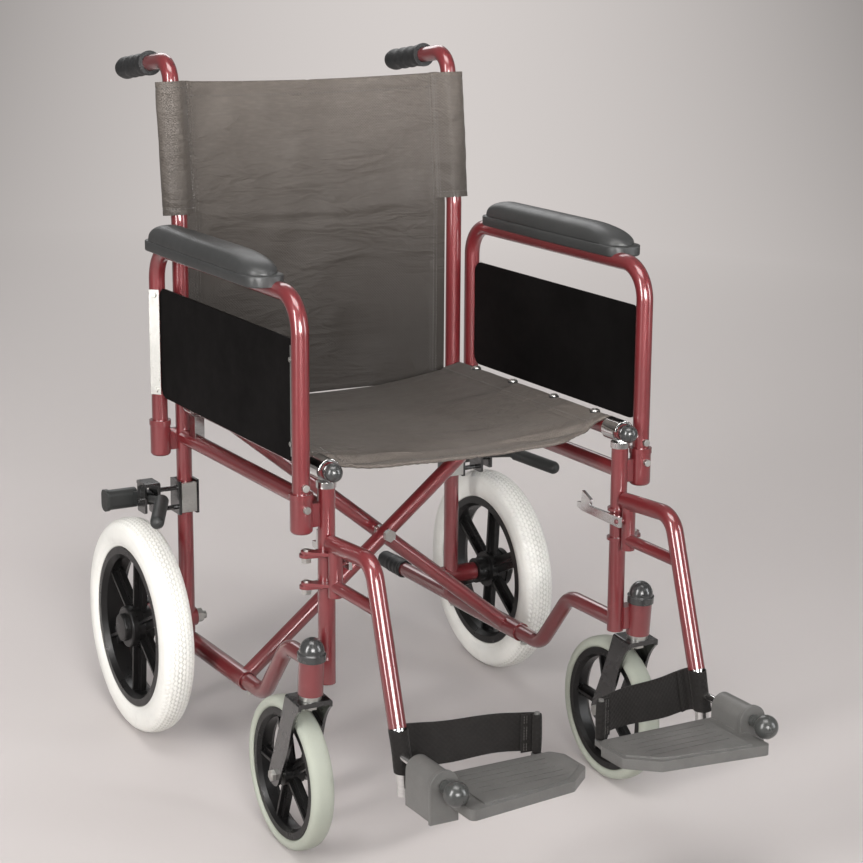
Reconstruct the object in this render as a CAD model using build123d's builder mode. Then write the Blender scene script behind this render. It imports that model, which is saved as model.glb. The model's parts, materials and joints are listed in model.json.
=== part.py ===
from build123d import *
import os
from math import acos, atan2, cos, hypot, radians, sin

# Folding transit wheelchair with attendant handles, in millimetres.
# X runs across the chair, and +X is on the right as seen from the front.
# The chair faces -Y, +Z is up and the wheels stand on Z = 0.
#
# Only the +X side is drawn; its pieces are mirrored for the other side.
# The tubular frame is drawn square, then leaned back as one unit about the X
# line through (0, 0, lean_height). Wheels, casters and their bolts stand upright.

# ---------------------------------------------------------------- dimensions
lean_angle = 4.83            # backward lean of the whole tubular frame, degrees
lean_height = 300.0          # height of the line the frame leans about
origin_y = 166.7             # rearward shift of the origin to the footprint centre

shank_gap = 0.06             # radial running clearance on pins and axles
contact_gap = 0.05           # gap between separate pieces that sit on each other
sleeve_gap = 0.3             # radial clearance of a tube in a sleeve or socket

tube_r = 11.0                # outside radius of the 22 mm frame tube
bore_r = 9.2                 # inside radius of the 22 mm frame tube
plug_r = 9.1                 # shanks plugged into tube ends
upper_rail_r = 10.8
lower_rail_r = 10.9
frame_x = 216.0              # centre plane of each side frame
rear_y = 443.0               # rear upright behind the front upright

front_foot_z = 233.5         # bottom of the front upright
front_top_z = 486.0          # top of the front upright
upper_rail_z = 455.5
lower_rail_z = 158.9
caster_rail_z = 248.0        # raised front part of the lower rail
seat_rail_z = 508.0
seat_rail_y0, seat_rail_y1 = -8, 425
cane_break_z = 757.0         # height at which the cane tilts back
handle_corner = (466.5, 973.5)
handle_end = (628.0, 951.0)

axle_y, axle_z = 443.9, 189.7   # rear axle in the square frame
rear_wheel_x = 287.0
rear_wheel_y = 433.0         # upright position of the rear axle
rear_tyre_r = 152.7
rear_tyre_w = 47.0
rear_tyre_seat_r = 107.0
hub_inner_x, hub_outer_x = 258.5, 306.0
axle_r = 6.0

caster_x = 245.0
caster_stem_y = -17.7
caster_wheel_y = 30.0
caster_r = 100.0
caster_w = 30.8
caster_seat_r = 79.0
caster_axle_r = 4.0
stem_r = 6.0
housing_bottom_z, housing_top_z = 229.5, 275.0

arm_x = 249.5                # plane of the armrest tube and side panel
arm_front_y, arm_rear_y = 1.0, 446.0
arm_foot_z, arm_top_z = 438, 723.0
socket_r = 14
socket_bottom_z, socket_top_z = 431.4, 482.0

front_bar_y, rear_bar_y = 252.0, 280.0
brace_mid_z = (lower_rail_z + seat_rail_z) / 2

hinge_pin = (243.0, 1.0)     # footrest hanger pin beside the front upright
hinge_pin_r = 4
hinge_plate_zs = (360.5, 400.5)
hinge_plate_t = 4
hanger_y = -24.5             # upright post of the hanger
hanger_z = 417.0
strut_z = 366.0
latch_z = 393                # latch lever screw
latch_screw_r = 3

pin_x, pin_z = 218.0, 206.0  # footplate pivot line, running along Y
foot_pin_r = 5

os.makedirs("parts", exist_ok=True)


# ------------------------------------------------------------------- helpers
def in_frame(x, y, z):
    """Square-frame coordinates of a point given in the upright chair."""
    cosine, sine = cos(radians(lean_angle)), sin(radians(lean_angle))
    rise = z - lean_height
    return Vector(x, cosine * y - sine * rise, lean_height + sine * y + cosine * rise)


def rod(start, end, radius, mode=Mode.ADD):
    """Round bar from start to end."""
    axis = Vector(end) - Vector(start)
    with BuildSketch(Plane(origin=start, z_dir=axis)) as section:
        Circle(radius)
    extrude(section.sketch, amount=axis.length, mode=mode)


def rod_x(x_range, y, z, radius, mode=Mode.ADD):
    """Round bar along X between the two values of x_range."""
    rod((x_range[0], y, z), (x_range[1], y, z), radius, mode)


def rod_y(x, y_range, z, radius, mode=Mode.ADD):
    """Round bar along Y between the two values of y_range."""
    rod((x, y_range[0], z), (x, y_range[1], z), radius, mode)


def rod_z(x, y, z_range, radius, mode=Mode.ADD):
    """Round bar along Z between the two values of z_range."""
    rod((x, y, z_range[0]), (x, y, z_range[1]), radius, mode)


def tube_run(path, radius, mode=Mode.ADD):
    """Round section carried along a bent path."""
    with BuildSketch(Plane(origin=path @ 0, z_dir=path % 0)) as section:
        Circle(radius)
    sweep(sections=section.sketch, path=path, mode=mode)


def block(low, high, mode=Mode.ADD):
    """Rectangular block between two corners."""
    size = [top - bottom for bottom, top in zip(low, high)]
    middle = [(top + bottom) / 2 for bottom, top in zip(low, high)]
    with Locations(tuple(middle)):
        Box(*size, mode=mode)


def hexagon(start, end, radius):
    """Hexagonal bolt head or nut from start to end."""
    axis = Vector(end) - Vector(start)
    with BuildSketch(Plane(origin=start, z_dir=axis)) as section:
        RegularPolygon(radius, 6)
    extrude(section.sketch, amount=axis.length)


def sheet(plane, points, thickness):
    """Straight-edged outline raised from a plane."""
    with BuildSketch(plane) as outline:
        with BuildLine():
            Polyline(*points, close=True)
        make_face()
    extrude(outline.sketch, amount=thickness)


def link_plate(first, first_r, second, second_r, z0, z1):
    """Flat plate spanning two round eyes, lying between heights z0 and z1."""
    dx, dy = second[0] - first[0], second[1] - first[1]
    along = atan2(dy, dx)
    spread = acos((first_r - second_r) / hypot(dx, dy))
    corners = []
    for centre, radius, sign in ((first, first_r, 1), (second, second_r, 1),
                                 (second, second_r, -1), (first, first_r, -1)):
        angle = along + sign * spread
        corners.append((centre[0] + radius * cos(angle), centre[1] + radius * sin(angle)))
    with BuildSketch(Plane.XY.offset(z0)) as outline:
        with BuildLine():
            Polyline(*corners, close=True)
        make_face()
        with Locations(first):
            Circle(first_r)
        with Locations(second):
            Circle(second_r)
    extrude(outline.sketch, amount=z1 - z0)


# Wheel profiles are drawn as (offset across the wheel, radius) from the wheel centre.
def wheel_datum(x, y, radius):
    """Profile plane and spin axis of a wheel standing on the ground."""
    plane = Plane(origin=(x, y, radius), x_dir=(1, 0, 0), z_dir=(0, -1, 0))
    return plane, Axis((0, y, radius), (1, 0, 0))


def flipped(points):
    """Points of a half profile reflected to the -X side of the wheel."""
    return [(-across, radius) for across, radius in points]


def tyre(datum, wall, tread, crown_r):
    """Tyre from its +X half: wall from seat to shoulder, then tread up to the crown."""
    plane, axis = datum
    half_tread = [wall[-1], *tread]
    with BuildSketch(plane) as profile:
        with BuildLine():
            Polyline(*flipped(wall))
            Spline(*flipped(half_tread), (0, crown_r), *reversed(half_tread))
            Polyline(*reversed(wall), flipped(wall)[0])
        make_face()
    revolve(profile.sketch, axis=axis)


def rim(datum, half):
    """Rim with turned-out lips, from its +X half."""
    plane, axis = datum
    with BuildSketch(plane) as profile:
        with BuildLine():
            Polyline(*flipped(half), *reversed(half), close=True)
        make_face()
    revolve(profile.sketch, axis=axis)


def spokes(centre, ring_r, count, start_angle, length, width, x0, depth):
    """Ring of radial bars about the (y, z) centre, from x0 to x0 + depth."""
    with BuildSketch(Plane.YZ.offset(x0)) as section:
        with Locations(centre):
            with PolarLocations(ring_r, count, start_angle=start_angle):
                Rectangle(length, width)
    extrude(section.sketch, amount=depth)


# --------------------------------------------------------------- centre lines
# Drawn in the plane of the right-hand side frame: first number is Y, second is Z.
with BuildLine(Plane.YZ.offset(frame_x)) as lower_line:
    FilletPolyline((0, caster_rail_z), (112, caster_rail_z), (185, lower_rail_z),
                   (645, lower_rail_z), radius=38)

with BuildLine(Plane.YZ.offset(frame_x)) as cane_line:
    FilletPolyline((rear_y, lower_rail_z), (rear_y, cane_break_z), handle_corner,
                   handle_end, radius=30)

with BuildLine(Plane.YZ.offset(arm_x)) as arm_line:
    FilletPolyline((arm_front_y, arm_foot_z), (arm_front_y, arm_top_z),
                   (arm_rear_y, arm_top_z), (arm_rear_y, arm_foot_z), radius=45)

with BuildLine(Plane.YZ.offset(frame_x)) as hanger_line:
    FilletPolyline((-15.5, hanger_z), (-122, 423), (-184.3, 236), radius=30)

with BuildLine(Plane.YZ.offset(frame_x)) as leg_line:
    FilletPolyline((-177, 258), (-198.5, 193.5), (-202, 158), radius=25)

cane_break = Vector(frame_x, rear_y, cane_break_z)
cane_bend = Vector(frame_x, *handle_corner)
grip_end = Vector(frame_x, *handle_end)
cane_lean = (cane_bend - cane_break).normalized()
grip_dir = (grip_end - cane_bend).normalized()

# ---------------------------------------------------------- side frame (right)
stem_low = in_frame(caster_x, caster_stem_y, housing_bottom_z)
stem_high = in_frame(caster_x, caster_stem_y, housing_top_z)
stem_up = (stem_high - stem_low).normalized()

with BuildPart() as side_frame:
    # Uprights, rails, cane and tipping lever.
    rod_z(frame_x, 0, (front_foot_z, front_top_z), tube_r)
    tube_run(cane_line.line, tube_r)
    rod_y(frame_x, (2, rear_y - 2), upper_rail_z, upper_rail_r)
    tube_run(lower_line.line, lower_rail_r)
    # Caster housing and its gusset.
    rod(stem_low, stem_high, 16)
    block((frame_x + 4, -15, 238), (caster_x - 3, 5, 268))
    # Rear axle sleeve through the upright.
    rod_x((frame_x - 12.5, 257), axle_y, axle_z, 13.5)
    # Armrest sockets with rims, each tied to its upright by a plate.
    for post_y in (arm_front_y, arm_rear_y):
        rod_z(arm_x, post_y, (socket_bottom_z, socket_top_z), socket_r)
        rod_z(arm_x, post_y, (socket_top_z - 7, socket_top_z), socket_r + 1)
        block((frame_x + 6, post_y - 4, 438), (arm_x - 6, post_y + 4, 468))
    fillet(side_frame.edges().filter_by(GeomType.CIRCLE).filter_by(
        lambda edge: abs(edge.center().Z - socket_bottom_z) < 0.1
        and abs(edge.radius - socket_r) < 0.1), radius=5)
    # Hinge plates for the footrest hanger.
    for plate_z in hinge_plate_zs:
        link_plate((frame_x, 0), 14.5, hinge_pin, 9, plate_z, plate_z + hinge_plate_t)
    # Tube bores.
    rod_z(frame_x, 0, (front_foot_z - 1, front_top_z + 1), bore_r, Mode.SUBTRACT)
    tube_run(cane_line.line, bore_r, Mode.SUBTRACT)
    rod_y(frame_x, (0, rear_y), upper_rail_z, 9, Mode.SUBTRACT)
    tube_run(lower_line.line, 9.1, Mode.SUBTRACT)
    # Machined holes: axle, caster stem, armrest posts, hinge bolts.
    rod_x((190, 260), axle_y, axle_z, axle_r + shank_gap, Mode.SUBTRACT)
    rod(stem_low - stem_up * 2, stem_high + stem_up * 2, stem_r + shank_gap, Mode.SUBTRACT)
    for post_y in (arm_front_y, arm_rear_y):
        rod_z(arm_x, post_y, (arm_foot_z - 0.5, socket_top_z + 1), tube_r + sleeve_gap,
              Mode.SUBTRACT)
    rod_z(*hinge_pin, (355, 410), hinge_pin_r + shank_gap, Mode.SUBTRACT)

# --------------------------------------------------------------- handle grip
# Profiles of grip and cap: (distance along the axis, radius).
grip_start = grip_end - grip_dir * 94
grip_bore_r = tube_r + contact_gap
grip_waves = [(6, 15.2), (16, 15.8), (27, 14.2), (38, 15.8), (49, 14.2), (60, 15.8),
              (71, 14.2), (82, 15.6), (92, 15.2)]

with BuildPart() as handgrip:
    with BuildSketch(Plane(origin=grip_start, x_dir=grip_dir, z_dir=(1, 0, 0))) as profile:
        with BuildLine():
            Polyline((0, grip_bore_r), (0, 17), (4, 17), grip_waves[0])
            Spline(*grip_waves)
            Polyline(grip_waves[-1], (99, 13.5), (102, 9), (102, 0), (95, 0),
                     (95, grip_bore_r), (0, grip_bore_r))
        make_face()
    revolve(profile.sketch, axis=Axis(grip_start, grip_dir))

# ----------------------------------------------------------- tipping lever cap
tip_start = (frame_x, 587, lower_rail_z)
tip_profile = [
    (0, tube_r), (0, 13.6), (4, 14.6), (8, 13.6), (14, 14.4), (20, 13.6), (26, 14.4),
    (32, 13.6), (38, 14.4), (44, 13.6), (66, 13.2), (70, 11), (71, 7), (71, 0),
    (58.5, 0), (58.5, tube_r),
]

with BuildPart() as tip_cap:
    with BuildSketch(Plane(origin=tip_start, x_dir=(0, 1, 0), z_dir=(1, 0, 0))) as profile:
        with BuildLine():
            Polyline(*tip_profile, close=True)
        make_face()
    revolve(profile.sketch, axis=Axis(tip_start, (0, 1, 0)))

# ---------------------------------------------- cradles that hold the seat rail
cradle_r = 15
cradle_bore_r = tube_r + 0.5

with BuildPart() as seat_cradle:
    # Front cradle, plugged into the top of the front upright.
    rod_z(frame_x, 0, (468, front_top_z + 2), plug_r)
    rod_z(frame_x, 0, (front_top_z + contact_gap, 494), 12.6)
    rod_y(frame_x, (-4, 23), seat_rail_z, cradle_r)
    rod_y(frame_x, (-5, 24), seat_rail_z, cradle_bore_r, Mode.SUBTRACT)
    # Rear cradle, saddled on the upper side rail.
    block((frame_x - 7, 386, upper_rail_z + 5), (frame_x + 7, 406, 495))
    rod_y(frame_x, (384, 408), seat_rail_z, cradle_r)
    rod_y(frame_x, (383, 409), seat_rail_z, cradle_bore_r, Mode.SUBTRACT)
    rod_y(frame_x, (380, 412), upper_rail_z, upper_rail_r + contact_gap, Mode.SUBTRACT)
    # Both cradles are open upward so that the rail can lift out.
    block((frame_x - 20, -6, seat_rail_z + 2), (frame_x + 20, 410, seat_rail_z + 20),
          Mode.SUBTRACT)

# ---------------------------------------------------------------- caster dome
# (radius, height above the housing)
dome_curve = [(16, 10.5), (14.2, 19), (8.5, 26), (0, 28.6)]
dome_base = (caster_x, caster_stem_y, housing_top_z)

with BuildPart() as caster_cap:
    with BuildSketch(Plane(origin=dome_base, x_dir=(1, 0, 0), z_dir=(0, -1, 0))) as profile:
        with BuildLine():
            Polyline((0, contact_gap), (18, contact_gap), (18, 9), dome_curve[0])
            Spline(*dome_curve)
            Line(dome_curve[-1], (0, contact_gap))
        make_face()
    revolve(profile.sketch, axis=Axis((caster_x, caster_stem_y, 0), (0, 0, 1)))

# ------------------------------------------------- loose steel on the side frame
with BuildPart() as frame_hardware:
    # Rear axle bolt with its inner nut; the outer end stops inside the hub cap.
    rod_x((188, 304), axle_y, axle_z, axle_r)
    hexagon((194, axle_y, axle_z), (203.4, axle_y, axle_z), 10.5)
    # Hanger hinge bolts, heads below the plates.
    for plate_z in hinge_plate_zs:
        hexagon((*hinge_pin, plate_z - 7), (*hinge_pin, plate_z - contact_gap), 6.5)
        rod_z(*hinge_pin, (plate_z - 2, plate_z + 10), hinge_pin_r)
    # Lower rail screws, under the rail.
    for screw_y in (230, 434):
        rod_z(frame_x, screw_y,
              (lower_rail_z - 15.5, lower_rail_z - lower_rail_r - contact_gap), 5)
    # Socket screws, on the front of the front socket and the rear of the rear one.
    screw_base = socket_r + contact_gap
    rod_y(arm_x, (arm_front_y - 18.5, arm_front_y - screw_base), 464, 4.5)
    rod_y(arm_x, (arm_rear_y + screw_base, arm_rear_y + 18.5), 464, 4.5)
    # Shim of the brake clamp, in front of the rear upright.
    block((frame_x - 11, rear_y - 16.5, 349), (frame_x + 11, rear_y - 11.1, 391))

# ----------------------------------------------------- brake clamp and bracket
brake_pivot = (447, 370)     # Y and Z of the pivot pin, which runs along X
brake_pin_r = 3.2
pivot_plate_x = 258.5        # inner face of the inner pivot plate
outer_plate_x1 = 280.5
web_top_z = 396

with BuildPart() as brake_bracket:
    # Channel round the rear upright, open to the front.
    block((frame_x - 15.2, rear_y - 15, 346), (frame_x + 15.2, rear_y + 15.5, 394))
    block((frame_x - 11.1, rear_y - 17, 345), (frame_x + 11.1, rear_y + 11.3, 395),
          Mode.SUBTRACT)
    # Two spacer rods out to the pivot plates.
    for spacer_y, spacer_z in ((436, 384), (440, 355)):
        rod_x((frame_x + 14, 262), spacer_y, spacer_z, 3.4)
    # Pivot plates, web and pivot pin.
    block((pivot_plate_x, 428, 348), (262.5, 462, web_top_z))
    block((277, 432, 352), (outer_plate_x1, 460, web_top_z))
    block((pivot_plate_x, 428, 391), (outer_plate_x1, 462, web_top_z))
    rod_x((258, 285), *brake_pivot, brake_pin_r)
    fillet(brake_bracket.edges().filter_by(Axis.X).filter_by(
        lambda edge: edge.center().X > 258
        and (edge.center().Z > 395 or edge.center().Z < 353)), radius=3)

# ----------------------------------------------------------------- brake lever
# (Y, Z) outline of the arm from the pivot back to the shoe.
brake_arm = [(441, 364), (452, 362), (478, 353), (498, 351), (510, 352), (512, 366),
             (490, 370), (460, 380), (447, 379)]
brake_grip_r = 9.5
brake_grip_end = (312, 311, 376)

with BuildPart() as brake_lever:
    # Hub on the pivot pin.
    rod_x((263.2, 276.3), *brake_pivot, 8)
    sheet(Plane.YZ.offset(264), brake_arm, 8)
    # Rounded shoe across the tyre, with a flange at its outer end.
    for x0, length, grow in ((265, 44, 0), (306, 5.5, 1.5)):
        with BuildSketch(Plane.YZ.offset(x0)) as shoe:
            with Locations((508, 358)):
                RectangleRounded(20 + 2 * grow, 28 + 2 * grow, 8 + grow)
        extrude(shoe.sketch, amount=length)
    # Lever forward to the rubber grip.
    rod((269, 445, 371), (281, 372, 387), 5)
    rod((280, 374, 387), (283, 364, 388.5), 7)
    rod((281.5, 368, 387.8), brake_grip_end, brake_grip_r)
    with Locations(brake_grip_end):
        Sphere(brake_grip_r)
    # Pin bore.
    rod_x((255, 290), *brake_pivot, brake_pin_r + shank_gap, Mode.SUBTRACT)

# ------------------------------------------------------------- back upholstery
sleeve_start = cane_break + cane_lean * 10
with BuildPart() as back_sleeve:
    with BuildSketch(Plane(origin=sleeve_start, x_dir=(1, 0, 0), z_dir=cane_lean)) as section:
        with Locations((0.5, 0)):
            RectangleRounded(43, 30, 14)
        Circle(tube_r + 0.4, mode=Mode.SUBTRACT)
    extrude(section.sketch, amount=176)

sling_x0, sling_x1 = 38, 190
sling_bottom_z, sling_top_z = 506, 942
with BuildPart() as back_sling:
    sheet(Plane.YZ.offset(sling_x0),
          [(446, sling_bottom_z), (450, sling_bottom_z), (470, sling_top_z), (466, sling_top_z)],
          sling_x1 - sling_x0)
    # Hem cord along the outer edge, on the line the panel folds about.
    rod((sling_x1, 448, sling_bottom_z), (sling_x1, 468, sling_top_z), 3)

# ---------------------------------------------------------------- seat sling
with BuildPart() as seat_sling:
    sheet(Plane.XY.offset(seat_rail_z + 1.5),
          [(33, 5), (150, 5), (191, 46), (191, 420), (33, 420)], 4)

# ------------------------------------------------------------- scissor braces
sleeve_y0, sleeve_y1 = 238, 428   # foot sleeve round the lower rail
pivot_bolt_r = 5


def brace(side, bar_y):
    """One brace: bar, the seat rail it carries (on side) and the sleeve at its foot."""
    rail_x = side * frame_x
    foot = Vector(-rail_x, bar_y, lower_rail_z)
    head = Vector(rail_x, bar_y, seat_rail_z)
    weld = (head - foot).normalized() * 26
    rod(foot, head, 10.5)
    rod_y(rail_x, (seat_rail_y0, seat_rail_y1), seat_rail_z, tube_r)
    rod_y(-rail_x, (sleeve_y0, sleeve_y1), lower_rail_z, 13.4)
    # The bar is hollow between its two welded ends.
    rod(foot + weld, head - weld, 8.6, Mode.SUBTRACT)
    rod_y(rail_x, (seat_rail_y0 - 1, seat_rail_y1 + 1), seat_rail_z, bore_r, Mode.SUBTRACT)
    rod_y(-rail_x, (sleeve_y0 - 1, sleeve_y1 + 1), lower_rail_z, tube_r + sleeve_gap,
          Mode.SUBTRACT)
    # Boss and bore for the centre pivot.
    rod_y(0, (bar_y - 11.5, bar_y + 11.5), brace_mid_z, 7.6)
    rod_y(0, (bar_y - 20, bar_y + 20), brace_mid_z, pivot_bolt_r + shank_gap, Mode.SUBTRACT)


with BuildPart() as brace_front:
    brace(1, front_bar_y)

with BuildPart() as brace_rear:
    brace(-1, rear_bar_y)

boss_clear = 11.6            # from a bar's centre to the parts beside its boss
with BuildPart() as brace_pivot_bolt:
    # Bolt, head in front, spacer between the bars and nut behind.
    rod_y(0, (front_bar_y - 13, rear_bar_y + 20), brace_mid_z, pivot_bolt_r)
    hexagon((0, front_bar_y - 18, brace_mid_z), (0, front_bar_y - boss_clear, brace_mid_z), 9)
    rod_y(0, (front_bar_y + boss_clear, rear_bar_y - boss_clear), brace_mid_z, 8)
    hexagon((0, rear_bar_y + boss_clear, brace_mid_z), (0, rear_bar_y + 19, brace_mid_z), 9)

# -------------------------------------- black trim on the seat rail: plugs, washers
with BuildPart() as rail_trim:
    # Ball-ended front plug.
    with Locations((frame_x, -19, seat_rail_z)):
        Sphere(12)
    rod_y(frame_x, (-19, 10), seat_rail_z, plug_r)
    # Flat rear plug.
    rod_y(frame_x, (seat_rail_y1 + contact_gap, 429), seat_rail_z, tube_r)
    rod_y(frame_x, (408, 427), seat_rail_z, plug_r)
    # Washers above the rail.
    rail_top_z = seat_rail_z + tube_r
    for washer_y in (61, 163, 271, 373):
        rod_z(frame_x, washer_y, (rail_top_z + 1.6, rail_top_z + 4), 7)

# ------------------------------------------------------------------- armrest
with BuildPart() as arm_frame:
    tube_run(arm_line.line, tube_r)
    tube_run(arm_line.line, 9.4, Mode.SUBTRACT)

pad_x0, pad_x1 = 236.0, 288.0
pad_y0, pad_y1 = 57.0, 413.0
pad_z0, pad_z1 = 727.0, 765.0
with BuildPart() as arm_pad:
    with BuildSketch(Plane.XY.offset(pad_z0)) as plan:
        with Locations(((pad_x0 + pad_x1) / 2, (pad_y0 + pad_y1) / 2)):
            RectangleRounded(pad_x1 - pad_x0, pad_y1 - pad_y0, 16)
    extrude(plan.sketch, amount=pad_z1 - pad_z0)
    fillet(arm_pad.edges().group_by(Axis.Z)[-1], radius=12)
    fillet(arm_pad.edges().group_by(Axis.Z)[0], radius=2)
    # Groove for the armrest tube.
    rod_y(arm_x, (0, 450), arm_top_z, tube_r + 0.1, Mode.SUBTRACT)

panel_y0, panel_y1 = 12.6, 434.4
panel_z0, panel_z1 = 517, 669
panel_t = 3
with BuildPart() as side_panel:
    with BuildSketch(Plane.YZ.offset(arm_x - panel_t / 2)) as outline:
        with Locations(((panel_y0 + panel_y1) / 2, (panel_z0 + panel_z1) / 2)):
            RectangleRounded(panel_y1 - panel_y0, panel_z1 - panel_z0, 16)
    extrude(outline.sketch, amount=panel_t)

with BuildPart() as panel_hardware:
    # Clamping strip and screws on the outer face of the panel.
    block((arm_x + panel_t / 2 + contact_gap, 15, 524), (arm_x + 3.5, 22, 662))
    for z in (540, 645):
        rod_x((arm_x + 3, arm_x + 6), 18.5, z, 3.2)
    # Flat bar and screws against the outer front face of the rear post.
    with BuildSketch(Plane(origin=(arm_x + 8.35, arm_rear_y - 8.35, 520),
                           x_dir=(1, 1, 0), z_dir=(0, 0, 1))) as bar:
        Rectangle(15, 1.5)
    extrude(bar.sketch, amount=146)
    for z in (527, 659):
        rod((arm_x + 8.6, arm_rear_y - 8.6, z), (arm_x + 10.7, arm_rear_y - 10.7, z), 3.8)
    # Spring button on the front of the front post.
    rod_y(arm_x, (arm_front_y - 15, arm_front_y - tube_r - contact_gap), 490.6, 4.5)

# ----------------------------------------------------------------- rear wheel
rear_datum = wheel_datum(rear_wheel_x, rear_wheel_y, rear_tyre_r)
rear_centre = (rear_wheel_y, rear_tyre_r)
hub_flange_x, hub_plate_x, cap_outer_x = 300, 309.5, 317

with BuildPart() as rear_tyre:
    tyre(rear_datum,
         wall=[(14, rear_tyre_seat_r), (15.5, 113.2), (19.5, 114.5)],
         tread=[(rear_tyre_w / 2, 129), (20, 144.5), (10, 151.6)],
         crown_r=rear_tyre_r)

with BuildPart() as rear_wheel:
    rim(rear_datum, [(15.6, 106.9), (15.8, 113), (19, 113), (19.4, 103), (12, 98)])
    # Hub barrel, flange and closed outer cap.
    rod_x((hub_inner_x, hub_outer_x), *rear_centre, 19)
    rod_x((276, hub_flange_x), *rear_centre, 27)
    rod_x((hub_flange_x, hub_plate_x), *rear_centre, 29)
    rod_x((hub_plate_x, cap_outer_x), *rear_centre, 19.5)
    fillet(rear_wheel.edges().filter_by(GeomType.CIRCLE).filter_by(
        lambda edge: abs(edge.center().X - cap_outer_x) < 0.1
        or (abs(edge.center().X - hub_plate_x) < 0.1 and edge.radius > 28)), radius=2.5)
    # Six flat spokes, each stiffened by a rib along its middle.
    for width, x0, depth in ((24, 284, 6), (4, 278, 20)):
        spokes(rear_centre, ring_r=62, count=6, start_angle=90, length=78,
               width=width, x0=x0, depth=depth)
    # Bearing bore, blind at the cap.
    rod_x((250, 305.5), *rear_centre, axle_r + shank_gap, Mode.SUBTRACT)

# --------------------------------------------------------------------- caster
caster_datum = wheel_datum(caster_x, caster_wheel_y, caster_r)
caster_centre = (caster_wheel_y, caster_r)

with BuildPart() as caster_tyre:
    tyre(caster_datum,
         wall=[(9, caster_seat_r), (9.6, 85.2), (12.6, 86.2)],
         tread=[(caster_w / 2, 91), (13, 96.8), (7, 99.5)],
         crown_r=caster_r)

with BuildPart() as caster_wheel:
    rim(caster_datum, [(9.8, 78.9), (9.9, 85), (12.3, 85), (12.6, 76), (7, 72)])
    rod_x((caster_x - 14, caster_x + 14), *caster_centre, 15)
    # Five flat spokes, each with a rib.
    for width, depth in ((16, 6), (4, 17)):
        spokes(caster_centre, ring_r=43, count=5, start_angle=70, length=64,
               width=width, x0=caster_x - depth / 2, depth=depth)
    rod_x((200, 290), *caster_centre, caster_axle_r + shank_gap, Mode.SUBTRACT)

fork_half_w = 23.6
fork_leg_t = 4
crown_y0, crown_y1 = -33, 5
crown_top_z = 223
# (Y, Z) edges of a fork leg: rear edge downward, front edge upward.
fork_rear = [(crown_y1, crown_top_z), (12, 198), (24, 160), (36, 126), (43.5, 104)]
fork_front = [(17, 94), (4, 124), (-9, 156), (-17, 188), (crown_y0, 214)]

with BuildPart() as caster_fork:
    # Crown and two swept-back legs.
    block((caster_x - fork_half_w, crown_y0, 216.5),
          (caster_x + fork_half_w, crown_y1, crown_top_z))
    for x0 in (caster_x - fork_half_w, caster_x + fork_half_w - fork_leg_t):
        with BuildSketch(Plane.YZ.offset(x0)) as leg:
            with BuildLine():
                Line((crown_y0, crown_top_z), fork_rear[0])
                Spline(*fork_rear)
                Line(fork_rear[-1], fork_front[0])
                Spline(*fork_front)
                Line(fork_front[-1], (crown_y0, crown_top_z))
            make_face()
            with Locations(caster_centre):
                Circle(14.2)
        extrude(leg.sketch, amount=fork_leg_t)
    fillet(caster_fork.edges().filter_by(Axis.Y).group_by(Axis.Z)[-1], radius=3)
    rod_z(caster_x, caster_stem_y, (210, 230), stem_r + shank_gap, Mode.SUBTRACT)
    rod_x((210, 280), *caster_centre, caster_axle_r + shank_gap, Mode.SUBTRACT)

with BuildPart() as caster_bolts:
    # Axle with end nuts and wheel spacers.
    rod_x((caster_x - 29, caster_x + 29), *caster_centre, caster_axle_r)
    for side in (-1, 1):
        hexagon((caster_x + side * 23.7, *caster_centre),
                (caster_x + side * 28.4, *caster_centre), 8)
        rod_x((caster_x + side * 14.2, caster_x + side * 19.4), *caster_centre, 7)
    # Stem bolt with head below the crown and bearing spacer above it.
    rod_z(caster_x, caster_stem_y, (211, 271), stem_r)
    hexagon((caster_x, caster_stem_y, 210), (caster_x, caster_stem_y, 216.4), 10)
    rod_z(caster_x, caster_stem_y, (223.1, 229.4), 14)

# ------------------------------------------------------------- footrest hanger
with BuildPart() as hanger:
    tube_run(hanger_line.line, tube_r)
    # Upright post and the strut forward from it.
    rod_z(frame_x, hanger_y, (352, hanger_z), 9)
    rod_y(frame_x, (hanger_y, -140), strut_z, 8)
    # Hinge plates, each resting just above a plate of the side frame.
    for frame_plate_z in hinge_plate_zs:
        plate_z = frame_plate_z + hinge_plate_t + 0.1
        link_plate((frame_x, hanger_y), 6, hinge_pin, 7, plate_z, plate_z + hinge_plate_t)
    tube_run(hanger_line.line, bore_r, Mode.SUBTRACT)
    # Disc closing the bore near the rear end of the top tube.
    rod((frame_x, -17.6, hanger_z + 0.1), (frame_x, -20, hanger_z + 0.25), 9.6)
    rod_z(*hinge_pin, (360, 412), hinge_pin_r + shank_gap, Mode.SUBTRACT)
    # Screw the latch lever turns on.
    rod_x((frame_x - 4, frame_x - 21), hanger_y, latch_z, latch_screw_r)

with BuildPart() as leg_tube:
    tube_run(leg_line.line, 8.6)
    rod_y(pin_x, (-194, -312), pin_z, foot_pin_r)

# (Y, Z) outline of the lever blade.
latch_outline = [(-31, 386), (60, 388), (70, 391), (70, 398), (60, 399), (58, 416),
                 (38, 408), (40, 398.5), (-31, 400)]
with BuildPart() as latch_lever:
    sheet(Plane.YZ.offset(frame_x - 19.5), latch_outline, 4.5)
    rod_x((frame_x - 25, frame_x - 10), hanger_y, latch_z, latch_screw_r + shank_gap,
          Mode.SUBTRACT)

with BuildPart() as footplate_knob:
    with Locations((pin_x, -327, pin_z)):
        Sphere(15)
    rod_y(pin_x, (-302, -318), pin_z, 8)
    rod_y(pin_x, (-300, -312.2), pin_z, foot_pin_r, Mode.SUBTRACT)

# ------------------------------------------------------------------ footplate
tread_z = 179
heel_peg = (46, -222)        # X and Y of the heel strap peg


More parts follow.
